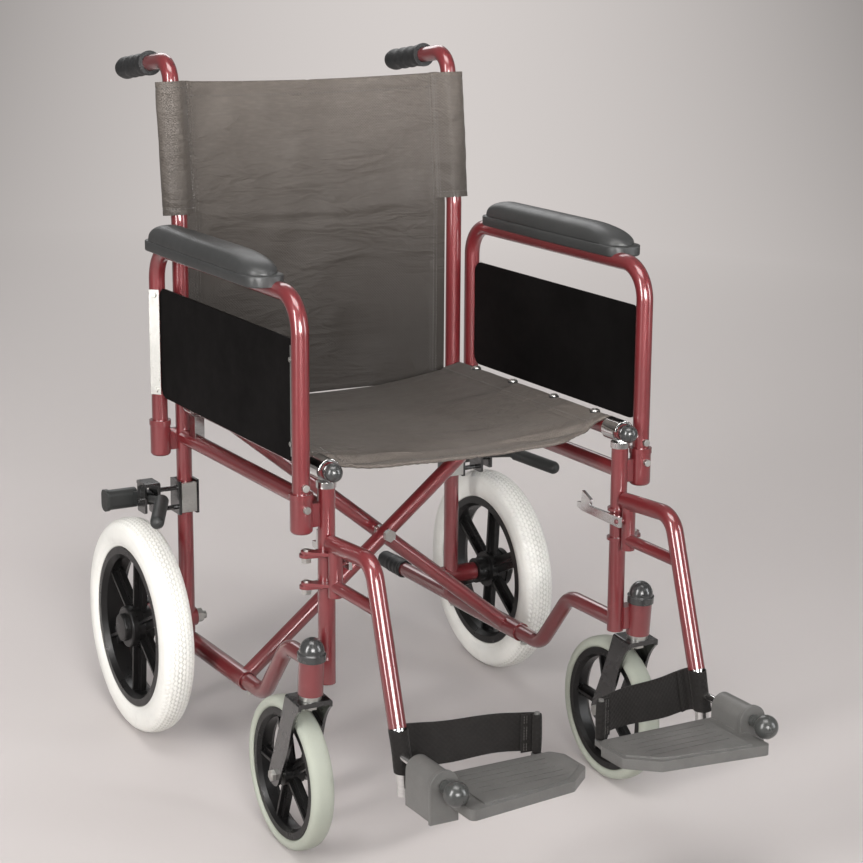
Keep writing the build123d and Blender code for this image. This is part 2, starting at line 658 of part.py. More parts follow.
def arch(rear_face_y, radius, drop, depth, mode=Mode.ADD):
    """Round-topped section about the pivot line, running forward from rear_face_y."""
    with BuildSketch(Plane(origin=(pin_x, rear_face_y, pin_z),
                           x_dir=(1, 0, 0), z_dir=(0, -1, 0))) as section:
        Circle(radius)
        with Locations((0, -drop / 2)):
            Rectangle(2 * radius, drop)
    extrude(section.sketch, amount=depth, mode=mode)


with BuildPart() as footplate:
    # Hollow arched housing with a front flange and a rear wall.
    arch(-238, radius=16.5, drop=43, depth=58.6)
    arch(-296, radius=18.5, drop=45, depth=4.5)
    arch(-242, radius=13, drop=50, depth=54, mode=Mode.SUBTRACT)
    # Tread plate with cut-back inner corners.
    with BuildSketch(Plane.XY.offset(tread_z)) as tread:
        with BuildLine():
            Polyline((210, -349), (62, -331), (26, -300), (26, -254), (38, -238.4),
                     (203, -238.4), (203, -300.2), (210, -300.2), close=True)
        make_face()
        fillet(tread.vertices().filter_by(lambda vertex: vertex.X < 100 or vertex.Y < -340),
               radius=7)
    extrude(tread.sketch, amount=13)
    # Raised standing pad with slots running across the chair.
    with BuildSketch(Plane.XY.offset(tread_z + 12)) as pad:
        with BuildLine():
            Polyline((188, -340), (67, -324), (33, -296), (33, -258), (43, -246),
                     (188, -246), close=True)
        make_face()
        for y in (-259, -272, -285, -298, -311):
            with Locations((116, y)):
                SlotOverall(118, 1.6, mode=Mode.SUBTRACT)
    extrude(pad.sketch, amount=3)
    # Peg for the heel strap on a low lug behind the tread.
    link_plate((46, -244), 9, heel_peg, 6.5, tread_z, 185.5)
    rod_z(*heel_peg, (181, 238), 3.2)
    rod_y(pin_x, (-200, -310), pin_z, foot_pin_r + shank_gap, Mode.SUBTRACT)

with BuildPart() as heel_strap:
    # Webbing band, looped round the peg and running outward behind the heel.
    with BuildSketch(Plane.XY.offset(186.5)) as band:
        with BuildLine():
            Polyline((46, -216.4), (100, -203.5), (150, -202), (150, -204.4), (100, -206),
                     (46, -219), close=True)
        make_face()
        with Locations(heel_peg):
            Circle(5.8)
            Circle(3.5, mode=Mode.SUBTRACT)
    extrude(band.sketch, amount=50)

# --------------------------------------------------- placing and writing out
lean = (Location((0, -origin_y, lean_height)) * Location((0, 0, 0), (-lean_angle, 0, 0))
        * Location((0, 0, -lean_height)))
stand = Location((0, -origin_y, 0))

leaned_pairs = {
    "side_frame": side_frame, "handgrip": handgrip, "tip_cap": tip_cap,
    "seat_cradle": seat_cradle, "frame_hardware": frame_hardware,
    "brake_bracket": brake_bracket, "brake_lever": brake_lever,
    "back_sleeve": back_sleeve, "back_sling": back_sling, "seat_sling": seat_sling,
    "rail_trim": rail_trim, "arm_frame": arm_frame, "arm_pad": arm_pad,
    "side_panel": side_panel, "panel_hardware": panel_hardware, "hanger": hanger,
    "leg_tube": leg_tube, "latch_lever": latch_lever, "footplate_knob": footplate_knob,
    "footplate": footplate, "heel_strap": heel_strap,
}
standing_pairs = {
    "caster_cap": caster_cap, "rear_tyre": rear_tyre, "rear_wheel": rear_wheel,
    "caster_tyre": caster_tyre, "caster_wheel": caster_wheel, "caster_fork": caster_fork,
    "caster_bolts": caster_bolts,
}
leaned_singles = {
    "brace_front": brace_front, "brace_rear": brace_rear,
    "brace_pivot_bolt": brace_pivot_bolt,
}


def placed(piece, location):
    """The piece's part moved to its place in the chair."""
    with BuildPart() as moved:
        with Locations(location):
            add(piece.part)
    return moved.part


def write(part, name):
    """Label a part and write its STEP file."""
    part.label = name
    export_step(part, f"parts/{name}.step")


for pieces, location in ((leaned_pairs, lean), (standing_pairs, stand)):
    for name, piece in pieces.items():
        right_part = placed(piece, location)
        with BuildPart() as left_hand:
            mirror(right_part, about=Plane.YZ)
        write(right_part, f"{name}_right")
        write(left_hand.part, f"{name}_left")

for name, piece in leaned_singles.items():
    write(placed(piece, lean), name)
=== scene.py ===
"""Folding attendant-style wheelchair: fabrics, arm pads, tyres and straps over its CAD parts.

Scene ("row") frame: metres, +X to the chair's "right" side, +Y to its rear, +Z up.
Most pieces are drawn in millimetres in the chair's square frame, which to_row() leans
about X and shifts. Pieces that exist on both sides take a side name and a sign for x.
"""
import bpy
import bmesh
import json
import math
import numpy as np
from mathutils import Matrix, Vector


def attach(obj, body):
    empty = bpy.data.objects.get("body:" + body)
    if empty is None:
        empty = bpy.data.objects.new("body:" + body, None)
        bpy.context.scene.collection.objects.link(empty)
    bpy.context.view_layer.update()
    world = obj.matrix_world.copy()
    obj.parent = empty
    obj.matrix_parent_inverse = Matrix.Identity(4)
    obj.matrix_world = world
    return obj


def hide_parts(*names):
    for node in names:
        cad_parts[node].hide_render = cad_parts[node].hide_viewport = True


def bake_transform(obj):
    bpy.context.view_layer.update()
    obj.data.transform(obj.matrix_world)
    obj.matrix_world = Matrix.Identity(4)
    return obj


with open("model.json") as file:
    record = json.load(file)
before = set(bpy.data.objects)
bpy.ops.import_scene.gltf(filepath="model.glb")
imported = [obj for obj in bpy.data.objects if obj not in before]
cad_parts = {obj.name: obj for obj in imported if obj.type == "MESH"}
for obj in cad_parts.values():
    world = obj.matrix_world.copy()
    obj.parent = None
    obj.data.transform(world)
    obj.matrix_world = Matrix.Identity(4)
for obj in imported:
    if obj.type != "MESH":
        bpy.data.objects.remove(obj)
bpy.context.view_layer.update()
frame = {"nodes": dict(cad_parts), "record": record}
scene = bpy.context.scene

# ---------------------------------------------------------------- driving sizes, mm
LEAN = math.radians(4.83)
COS_LEAN, SIN_LEAN = math.cos(LEAN), math.sin(LEAN)
PIVOT_Z = 300          # height the lean turns about
ORIGIN_Y = 166.7       # y of the row frame's origin
SIDES = (("right", 1.0), ("left", -1.0))
CARRIER = {"right": "front_brace", "left": "rear_brace"}  # cross brace under each seat rail

RAIL_X, RAIL_Z = 216.0, 508.0        # seat rail centre; the canes share its x
WRAP = 12.6                          # fabric radius round the rail
SCREW_YS = (61, 163, 271, 373)
CANE_Y, BREAK_Z = 443.0, 757.0       # back cane: upright, then sloping rearward from the break
CANE_RISE = np.array([0, 466.5 - CANE_Y, 973.5 - BREAK_Z])
STITCH_PITCH = 4.4


# ---------------------------------------------------------------- frames and maths
def to_row(points):
    """Square-frame millimetres to row-frame metres; points is (..., 3)."""
    points = np.asarray(points, float)
    x, y, z = points[..., 0], points[..., 1], points[..., 2] - PIVOT_Z
    return np.stack([x, COS_LEAN * y + SIN_LEAN * z - ORIGIN_Y,
                     PIVOT_Z - SIN_LEAN * y + COS_LEAN * z], -1) / 1000


def to_square(points):
    """Row-frame metres to square-frame millimetres."""
    points = np.asarray(points, float) * 1000
    y, z = points[..., 1] + ORIGIN_Y, points[..., 2] - PIVOT_Z
    return np.stack([points[..., 0], COS_LEAN * y - SIN_LEAN * z,
                     PIVOT_Z + SIN_LEAN * y + COS_LEAN * z], -1)


def upright_to_row(points):
    """Upright millimetres, without the lean, to row-frame metres."""
    return (np.asarray(points, float) - np.array([0, ORIGIN_Y, 0])) / 1000


def smooth(t):
    t = np.clip(t, 0, 1)
    return t * t * (3 - 2 * t)


def bell(distance, width):
    return np.exp(-(distance / width) ** 2)


def unit(v):
    return v / np.maximum(np.linalg.norm(v, axis=-1, keepdims=True), 1e-12)


def ripple(x, y, seed, scale):
    """Smooth repeatable noise: seven sine waves in random directions."""
    random = np.random.RandomState(seed)
    out = np.zeros(np.broadcast(x, y).shape)
    for _ in range(7):
        angle, phase = random.uniform(0, 2 * np.pi), random.uniform(0, 2 * np.pi)
        rate = 2 * np.pi / (scale * random.uniform(0.6, 1.7))
        out = out + np.sin(rate * (x * np.cos(angle) + y * np.sin(angle)) + phase)
    return out / 7


def catmull(a, b, c, d, f):
    """Catmull-Rom point at fraction f between b and c."""
    return 0.5 * ((2 * b) + (c - a) * f + (2 * a - 5 * b + 4 * c - d) * f ** 2
                  + (3 * b - a - 3 * c + d) * f ** 3)


def arc_lengths(line):
    steps = np.linalg.norm(np.diff(line, axis=0), axis=1)
    return np.concatenate([[0], np.cumsum(steps)])


def padded(p):
    """Points with one extrapolated point at each end."""
    return np.vstack([2 * p[0] - p[1], p, 2 * p[-1] - p[-2]])


def closed_spline(points, n):
    p = np.asarray(points, float)
    k = len(p)
    t = np.linspace(0, k, n, endpoint=False)
    i = t.astype(int)
    return catmull(p[(i - 1) % k], p[i % k], p[(i + 1) % k], p[(i + 2) % k], (t - i)[:, None])


def even_spline(points, n):
    """Open spline with n points spread by chord length."""
    p = np.asarray(points, float)
    reach = arc_lengths(p)
    t = np.linspace(0, reach[-1], n)
    i = np.clip(np.searchsorted(reach, t, side="right") - 1, 0, len(p) - 2)
    f = ((t - reach[i]) / (reach[i + 1] - reach[i]))[:, None]
    pad = padded(p)
    return catmull(pad[i], pad[i + 1], pad[i + 2], pad[i + 3], f)


def stepped_spline(points, step):
    """Open spline whose spans are each cut into steps of about the given length."""
    p = np.asarray(points, float)
    pad = padded(p)
    out = []
    for i in range(len(p) - 1):
        a, b, c, d = pad[i:i + 4]
        n = max(2, int(np.linalg.norm(c - b) / step))
        out.append(catmull(a, b, c, d, np.linspace(0, 1, n, endpoint=False)[:, None]))
    out.append(p[-1:])
    return np.vstack(out)


def grid_normals(grid):
    """Unit normals of a (nu, nv, 3) grid."""
    return unit(np.cross(np.gradient(grid, axis=0), np.gradient(grid, axis=1)))


# ---------------------------------------------------------------- material builder
def tone(colour, gain):
    return tuple(min(1.0, v * gain) for v in colour)


class Mat:
    """A procedural material built round one Principled shader.

    In span and ramp, band is the input range; in span, to is the output range.
    """

    def __init__(self, name):
        self.material = bpy.data.materials.new(name)
        self.material.use_nodes = True
        self.tree = self.material.node_tree
        self.tree.nodes.clear()
        self.out = self.add("ShaderNodeOutputMaterial")
        self.shader = self.add("ShaderNodeBsdfPrincipled")
        self.link(self.shader.outputs["BSDF"], self.out.inputs["Surface"])
        self.co = self.add("ShaderNodeTexCoord").outputs["Object"]
        self.normal = None

    def add(self, kind, **settings):
        node = self.tree.nodes.new(kind)
        for key, value in settings.items():
            setattr(node, key, value)
        return node

    def link(self, source, target):
        self.tree.links.new(source, target)

    def feed(self, socket, value):
        """Links a socket value, or sets a plain one."""
        if isinstance(value, bpy.types.NodeSocket):
            self.link(value, socket)
        elif socket.type == "RGBA":
            socket.default_value = (*value, 1)
        else:
            socket.default_value = value

    def put(self, **values):
        for key, value in values.items():
            self.feed(self.shader.inputs[key.replace("_", " ")], value)

    def noise(self, scale, detail=4, rough=0.55, stretch=None, distortion=0.0):
        co = self.co
        if stretch:
            mapping = self.add("ShaderNodeMapping")
            mapping.inputs["Scale"].default_value = stretch
            self.link(co, mapping.inputs["Vector"])
            co = mapping.outputs["Vector"]
        node = self.add("ShaderNodeTexNoise")
        node.inputs["Scale"].default_value = scale
        node.inputs["Detail"].default_value = detail
        node.inputs["Roughness"].default_value = rough
        node.inputs["Distortion"].default_value = distortion
        self.link(co, node.inputs["Vector"])
        return node.outputs["Fac"]

    def voronoi(self, scale):
        node = self.add("ShaderNodeTexVoronoi")
        node.inputs["Scale"].default_value = scale
        self.link(self.co, node.inputs["Vector"])
        return node.outputs["Distance"]

    def wave(self, scale, direction):
        node = self.add("ShaderNodeTexWave", wave_type="BANDS", bands_direction=direction)
        node.inputs["Scale"].default_value = scale
        node.inputs["Detail"].default_value = 0
        self.link(self.co, node.inputs["Vector"])
        return node.outputs["Fac"]

    def ramp(self, fac, band):
        node = self.add("ShaderNodeValToRGB")
        ends = node.color_ramp.elements
        ends[0].position, ends[1].position = band
        self.link(fac, node.inputs["Fac"])
        return node.outputs["Color"]

    def span(self, fac, band, to):
        node = self.add("ShaderNodeMapRange")
        for key, value in zip(("From Min", "From Max", "To Min", "To Max"), (*band, *to)):
            node.inputs[key].default_value = value
        self.link(fac, node.inputs["Value"])
        return node.outputs["Result"]

    def mix(self, fac, a, b):
        node = self.add("ShaderNodeMix", data_type="RGBA")
        self.feed(node.inputs["Factor"], fac)
        self.feed(node.inputs[6], a)
        self.feed(node.inputs[7], b)
        return node.outputs[2]

    def mottle(self, base, fac, band, tones):
        """The base colour, varied between two gains."""
        return self.mix(self.ramp(fac, band), tone(base, tones[0]), tone(base, tones[1]))

    def math(self, operation, a, b=0.0):
        node = self.add("ShaderNodeMath", operation=operation)
        for socket, value in zip(node.inputs, (a, b)):
            self.feed(socket, value)
        return node.outputs[0]

    def bevel_node(self, radius):
        node = self.add("ShaderNodeBevel", samples=4)
        node.inputs["Radius"].default_value = radius
        return node

    def bevel(self, radius):
        self.normal = self.bevel_node(radius).outputs["Normal"]

    def edges(self, radius):
        """0 on flats, towards 1 along convex and concave edges."""
        node = self.bevel_node(radius)
        geometry = self.add("ShaderNodeNewGeometry")
        dot = self.add("ShaderNodeVectorMath", operation="DOT_PRODUCT")
        self.link(node.outputs["Normal"], dot.inputs[0])
        self.link(geometry.outputs["Normal"], dot.inputs[1])
        return self.span(dot.outputs["Value"], band=(1.0, 1.0 - 0.35 / 2.2), to=(0.0, 1.0))

    def bump(self, height, strength, distance):
        node = self.add("ShaderNodeBump")
        node.inputs["Strength"].default_value = strength
        node.inputs["Distance"].default_value = distance
        self.link(height, node.inputs["Height"])
        if self.normal is not None:
            self.link(self.normal, node.inputs["Normal"])
        self.normal = node.outputs["Normal"]

    def done(self):
        if self.normal is not None:
            self.link(self.normal, self.shader.inputs["Normal"])
        return self.material


# ---------------------------------------------------------------- materials
def red_paint():
    m = Mat("paint_red")
    red, faded = (0.135, 0.0125, 0.0155), (0.24, 0.045, 0.05)
    col = m.mottle(red, m.noise(scale=7, detail=3, rough=0.5),
                   band=(0.35, 0.7), tones=(0.88, 1.12))
    fleck = m.ramp(m.noise(scale=3800, detail=2, rough=0.6), band=(0.5, 0.75))
    col = m.mix(fleck, col, tone(red, 1.22))
    patch = m.span(m.noise(scale=60, detail=6, rough=0.7), band=(0.55, 0.8), to=(0.0, 0.25))
    col = m.mix(patch, col, faded)
    m.put(Base_Color=col, Metallic=0.22,
          Roughness=m.span(m.noise(scale=55, detail=5), band=(0.3, 0.7), to=(0.34, 0.44)),
          Coat_Weight=1.0,
          Coat_Roughness=m.span(m.noise(scale=24, detail=4), band=(0.35, 0.7), to=(0.10, 0.17)),
          Coat_IOR=1.7)
    m.bevel(0.0009)
    m.bump(m.noise(scale=900, detail=2), strength=0.04, distance=0.0004)
    return m.done()


def plastic(name, base, rough, grain, depth, coat=0.0, light=1.9, spec=0.5, wear=0.5,
            edge=0.0008):
    """Grained moulding; light and wear set the tone and amount of its worn edges."""
    m = Mat(name)
    col = m.mottle(base, m.noise(scale=18, detail=5, rough=0.6),
                   band=(0.3, 0.72), tones=(0.86, 1.16))
    speck = m.ramp(m.noise(scale=grain * 0.6, detail=2), band=(0.6, 0.75))
    col = m.mix(speck, col, tone(base, 1.35))
    worn = m.math("MULTIPLY", m.edges(edge * 1.4),
                  m.span(m.noise(scale=120, detail=5), band=(0.42, 0.68), to=(0.0, wear)))
    col = m.mix(worn, col, tone(base, light))
    m.put(Base_Color=col,
          Roughness=m.span(m.noise(scale=40, detail=6, rough=0.65), band=(0.3, 0.72),
                           to=(rough - 0.06, rough + 0.09)),
          Specular_IOR_Level=spec, Coat_Weight=coat, Coat_Roughness=0.18)
    m.bevel(edge)
    m.bump(m.voronoi(grain), strength=depth, distance=0.00022)
    return m.done()


def black_panel():
    m = Mat("panel_sheet")
    base, rubbed = (0.0036, 0.0032, 0.0032), (0.011, 0.0098, 0.0098)
    col = m.mottle(base, m.noise(scale=9, detail=5, rough=0.6),
                   band=(0.3, 0.7), tones=(0.8, 1.5))
    streak = m.span(m.noise(scale=14, detail=6, rough=0.7, stretch=(1, 0.25, 1)),
                    band=(0.52, 0.75), to=(0.0, 0.5))
    grit = m.span(m.noise(scale=700, detail=2), band=(0.4, 0.7), to=(0.2, 1))
    col = m.mix(m.math("MULTIPLY", streak, grit), col, rubbed)
    m.put(Base_Color=col,
          Roughness=m.span(m.noise(scale=30, detail=6), band=(0.3, 0.7), to=(0.55, 0.70)),
          Specular_IOR_Level=0.06)
    m.bevel(0.0006)
    m.bump(m.voronoi(900), strength=0.3, distance=0.0002)
    return m.done()


def black_powder():
    m = Mat("powder_black")
    base, worn_edge = (0.0042, 0.0040, 0.0040), (0.10, 0.10, 0.10)
    col = m.mottle(base, m.noise(scale=30, detail=4), band=(0.3, 0.7), tones=(0.8, 1.5))
    worn = m.math("MULTIPLY", m.edges(0.0009),
                  m.span(m.noise(scale=140, detail=5), band=(0.5, 0.72), to=(0.0, 0.6)))
    col = m.mix(worn, col, worn_edge)
    m.put(Base_Color=col, Metallic=0.0,
          Roughness=m.span(m.noise(scale=50, detail=5), band=(0.3, 0.7), to=(0.20, 0.32)),
          Coat_Weight=1.0, Coat_Roughness=0.06)
    m.bevel(0.0008)
    m.bump(m.noise(scale=900, detail=3), strength=0.07, distance=0.0003)
    return m.done()


def steel(name, base, rough, brushed, spangled=False):
    """Bare metal; brushed is the stretch of its streaks, spangled adds crystal cells."""
    m = Mat(name)
    streak = m.noise(scale=60, detail=6, rough=0.7, stretch=brushed)
    col = m.mottle(base, streak, band=(0.3, 0.75), tones=(0.8, 1.1))
    if spangled:
        col = m.mix(m.ramp(m.voronoi(420), band=(0.1, 0.8)), col, tone(base, 0.88))
    dust = m.span(m.noise(scale=35, detail=5), band=(0.5, 0.75), to=(0.0, 0.35))
    col = m.mix(dust, col, tone(base, 0.62))
    m.put(Base_Color=col, Metallic=1.0,
          Roughness=m.span(m.noise(scale=90, detail=6, rough=0.7, stretch=brushed),
                           band=(0.3, 0.7), to=(rough * 0.7, rough * 1.5)))
    m.bevel(0.0006)
    m.bump(streak, strength=0.08, distance=0.0003)
    return m.done()


def pale_rubber(name, base, dirt_and_shade, scuffing):
    m = Mat(name)
    col = m.mottle(base, m.noise(scale=14, detail=5, rough=0.6),
                   band=(0.3, 0.7), tones=(0.95, 1.04))
    # painted shade in the tread grooves and other recesses, from ambient occlusion, with some
    # dirt lodged there too
    occlusion = m.add("ShaderNodeAmbientOcclusion", samples=4)
    occlusion.inputs["Distance"].default_value = 0.004
    cavity_shade = m.span(occlusion.outputs["AO"], band=(0.45, 0.97), to=(0.95, 0.0))
    col = m.mix(cavity_shade, col, dirt_and_shade)
    patch = m.span(m.noise(scale=26, detail=7, rough=0.7), band=(0.52, 0.74),
                   to=(0.0, scuffing))
    grit = m.span(m.noise(scale=900, detail=2), band=(0.35, 0.65), to=(0.4, 1))
    col = m.mix(m.math("MULTIPLY", patch, grit), col, dirt_and_shade)
    m.put(Base_Color=col,
          Roughness=m.span(m.noise(scale=60, detail=5), band=(0.3, 0.7), to=(0.52, 0.68)),
          Specular_IOR_Level=0.4, Subsurface_Weight=0.08,
          Subsurface_Radius=(0.004, 0.0035, 0.003), Subsurface_Scale=0.3)
    m.bump(m.voronoi(1500), strength=0.2, distance=0.0002)
    return m.done()


def cloth(name, base, pitch, axes, rough, sheen, streak, depth=0.5, fray=0.3, painted_shade=None,
          crease=None):
    """Plain weave: two crossing thread directions, slubs, and broad tone changes.

    painted shade: a dict of axis, band, to and power darkens the cloth along that axis towards
    a shaded copy of its colour; crease stretches soft folds.
    """
    m = Mat(name)
    wave_scale = 1000.0 / pitch / 6.2832 * math.pi / 10 * 2  # bands every pi * pitch mm
    a = m.wave(wave_scale, axes[0])
    b = m.wave(wave_scale, axes[1])
    over = m.math("MAXIMUM", m.math("MULTIPLY", a, m.math("SUBTRACT", 1.25, b)),
                  m.math("MULTIPLY", b, m.math("SUBTRACT", 1.25, a)))
    slub = m.noise(scale=420, detail=3, rough=0.6, stretch=streak)
    col = m.mottle(base, m.noise(scale=8, detail=4, rough=0.55),
                   band=(0.3, 0.72), tones=(0.88, 1.12))
    col = m.mix(m.span(over, band=(0.2, 1.0), to=(0.0, 0.55)), tone(base, 0.62), col)
    col = m.mix(m.span(slub, band=(0.45, 0.72), to=(0.0, fray)), col, tone(base, 1.5))
    # painted shade: darker along one axis, mixed towards a shaded copy of the colour
    if painted_shade:
        xyz = m.add("ShaderNodeSeparateXYZ")
        m.link(m.co, xyz.inputs[0])
        unshaded_share = m.span(xyz.outputs[painted_shade["axis"]], painted_shade["band"], painted_shade["to"])
        col = m.mix(m.math("POWER", unshaded_share, painted_shade["power"]), tone(base, 0.16), col)
    m.put(Base_Color=col,
          Roughness=m.span(m.noise(scale=50, detail=4), band=(0.3, 0.7),
                           to=(rough - 0.07, rough + 0.05)),
          Sheen_Weight=sheen, Sheen_Roughness=0.45, Sheen_Tint=(0.72, 0.69, 0.66),
          Specular_IOR_Level=0.3)
    m.bump(over, strength=depth, distance=0.00035)
    m.bump(m.noise(scale=160, detail=4, rough=0.6), strength=0.12, distance=0.0012)
    if crease:
        soft = m.noise(scale=13, detail=3, rough=0.5, stretch=crease, distortion=0.9)
        fine = m.noise(scale=34, detail=4, rough=0.6, stretch=crease, distortion=1.4)
        patch = m.span(m.noise(scale=5.5, detail=2), band=(0.4, 0.62), to=(0.15, 1.0))
        folds = m.math("ADD", soft, m.math("MULTIPLY", fine, 0.35))
        m.bump(m.math("MULTIPLY", folds, patch), strength=0.85, distance=0.011)
    return m.done()


def sewing_thread():
    m = Mat("thread")
    col = m.mottle((0.045, 0.040, 0.036), m.noise(scale=600, detail=3),
                   band=(0.3, 0.7), tones=(0.7, 1.5))
    m.put(Base_Color=col, Roughness=0.75, Sheen_Weight=0.3)
    m.bump(m.noise(scale=2500, detail=2), strength=0.4, distance=0.0002)
    return m.done()


def pad_skin():
    m = Mat("pad_skin")
    base = (0.030, 0.031, 0.031)
    col = m.mottle(base, m.noise(scale=12, detail=5), band=(0.3, 0.7), tones=(0.88, 1.12))
    patch = m.span(m.noise(scale=70, detail=6, rough=0.7), band=(0.55, 0.8), to=(0.0, 0.35))
    col = m.mix(patch, col, tone(base, 1.7))
    m.put(Base_Color=col,
          Roughness=m.span(m.noise(scale=28, detail=6, rough=0.6), band=(0.3, 0.7),
                           to=(0.34, 0.46)),
          Specular_IOR_Level=0.5)
    m.bump(m.voronoi(760), strength=0.22, distance=0.0004)
    m.bump(m.noise(scale=1700, detail=3), strength=0.15, distance=0.0003)
    return m.done()


NYLON = (0.124, 0.106, 0.092)
MATERIALS = {  # by material slot
    "frame_red": red_paint(),
    "black_rubber": plastic("rubber_black", base=(0.014, 0.0145, 0.0150), rough=0.46,
                            grain=1100, depth=0.40, spec=0.4, wear=0.4),
    "brake_black": plastic("brake_rubber", base=(0.021, 0.0225, 0.022), rough=0.44,
                           grain=1300, depth=0.40, spec=0.4, wear=0.4),
    "black_plastic": plastic("plastic_dark", base=(0.030, 0.031, 0.031), rough=0.24,
                             grain=1500, depth=0.12, coat=0.5, wear=0.3),
    "knob_black": plastic("plastic_knob", base=(0.048, 0.050, 0.048), rough=0.27,
                          grain=1500, depth=0.15, coat=0.4, wear=0.3),
    "wheel_black": plastic("wheel_moulding", base=(0.0065, 0.0062, 0.0062), rough=0.30,
                           grain=1200, depth=0.25, light=3.0, spec=0.3, wear=0.5),
    "footplate_grey": plastic("footplate_moulding", base=(0.118, 0.116, 0.111), rough=0.40,
                              grain=1250, depth=0.40, light=1.7, wear=0.75, edge=0.0011),
    "panel_black": black_panel(),
    "black_steel": black_powder(),
    "chrome_steel": steel("chrome", base=(0.80, 0.80, 0.79), rough=0.13, brushed=(1, 1, 6)),
    "zinc_steel": steel("zinc", base=(0.52, 0.515, 0.49), rough=0.36, brushed=(1, 4, 1),
                        spangled=True),
    "tyre_white": pale_rubber("tyre_white", base=(0.74, 0.735, 0.70),
                              dirt_and_shade=(0.36, 0.35, 0.32), scuffing=0.28),
    "tyre_pale": pale_rubber("tyre_pale", base=(0.36, 0.38, 0.325),
                             dirt_and_shade=(0.25, 0.265, 0.22), scuffing=0.35),
    # painted shade: darker towards the rear
    "nylon_seat": cloth("nylon_seat", tone(NYLON, 1.06), pitch=1.3, axes=("X", "Y"),
                        rough=0.66, sheen=0.08, streak=(1, 0.2, 1), crease=(0.8, 1.5, 1),
                        painted_shade=dict(axis="Y", band=(0.26, -0.16), to=(0.25, 1.0), power=1.0)),
    # painted shade: darker low down
    "nylon_grey": cloth("nylon_back", tone(NYLON, 1.10), pitch=1.3, axes=("X", "Z"),
                        rough=0.62, sheen=0.08, streak=(0.2, 1, 1), crease=(0.55, 1, 1.9),
                        painted_shade=dict(axis="Z", band=(0.50, 1.0), to=(0.1, 1.0), power=1.8)),
    "webbing_brown": cloth("webbing", (0.0085, 0.0070, 0.0062), pitch=2.2, axes=("X", "Z"),
                           rough=0.82, sheen=0.12, streak=(0.15, 1, 1), depth=0.9, fray=0.5),
    "thread": sewing_thread(),
    "pad_foam": pad_skin(),
}

# ---------------------------------------------------------------- CAD parts
slots = {part["node"]: part["material_slot"] for part in frame["record"]["subparts"]}
for name, ob in frame["nodes"].items():
    key = "nylon_seat" if name.startswith("seat_sling") else slots[name]
    ob.data.materials.clear()
    ob.data.materials.append(MATERIALS[key])
    weld = ob.modifiers.new("weld", "WELD")
    weld.merge_threshold = 1e-6
    for polygon in ob.data.polygons:
        polygon.use_smooth = True
    split = ob.modifiers.new("split", "EDGE_SPLIT")
    split.split_angle = math.radians(32)


# ---------------------------------------------------------------- mesh helpers
def grid_faces(nu, nv, base=0, flip=False):
    out = []
    for i in range(nu - 1):
        for j in range(nv - 1):
            a, b = base + i * nv + j, base + (i + 1) * nv + j
            quad = (a, b, b + 1, a + 1)
            out.append(quad[::-1] if flip else quad)
    return out


def ring_pairs(rings, seg):
    """Neighbouring vertex indices round each of the first rings of a stack."""
    for i in range(rings):
        for k in range(seg):
            yield i * seg + k, i * seg + (k + 1) % seg


def ring_faces(rings, seg):
    """Wall between stacked rings."""
    return [(a, b, b + seg, a + seg) for a, b in ring_pairs(rings - 1, seg)]


def stitch_places(line, first, margin):
    """Yields index, place and run of each stitch, from first to margin before the end."""
    reach = arc_lengths(line)
    for s in np.arange(first, reach[-1] - margin, STITCH_PITCH):
        i = min(int(np.searchsorted(reach, s)), len(line) - 1)
        f = (s - reach[i - 1]) / max(reach[i] - reach[i - 1], 1e-6)
        yield i, line[i - 1] * (1 - f) + line[i] * f, line[i] - line[i - 1]


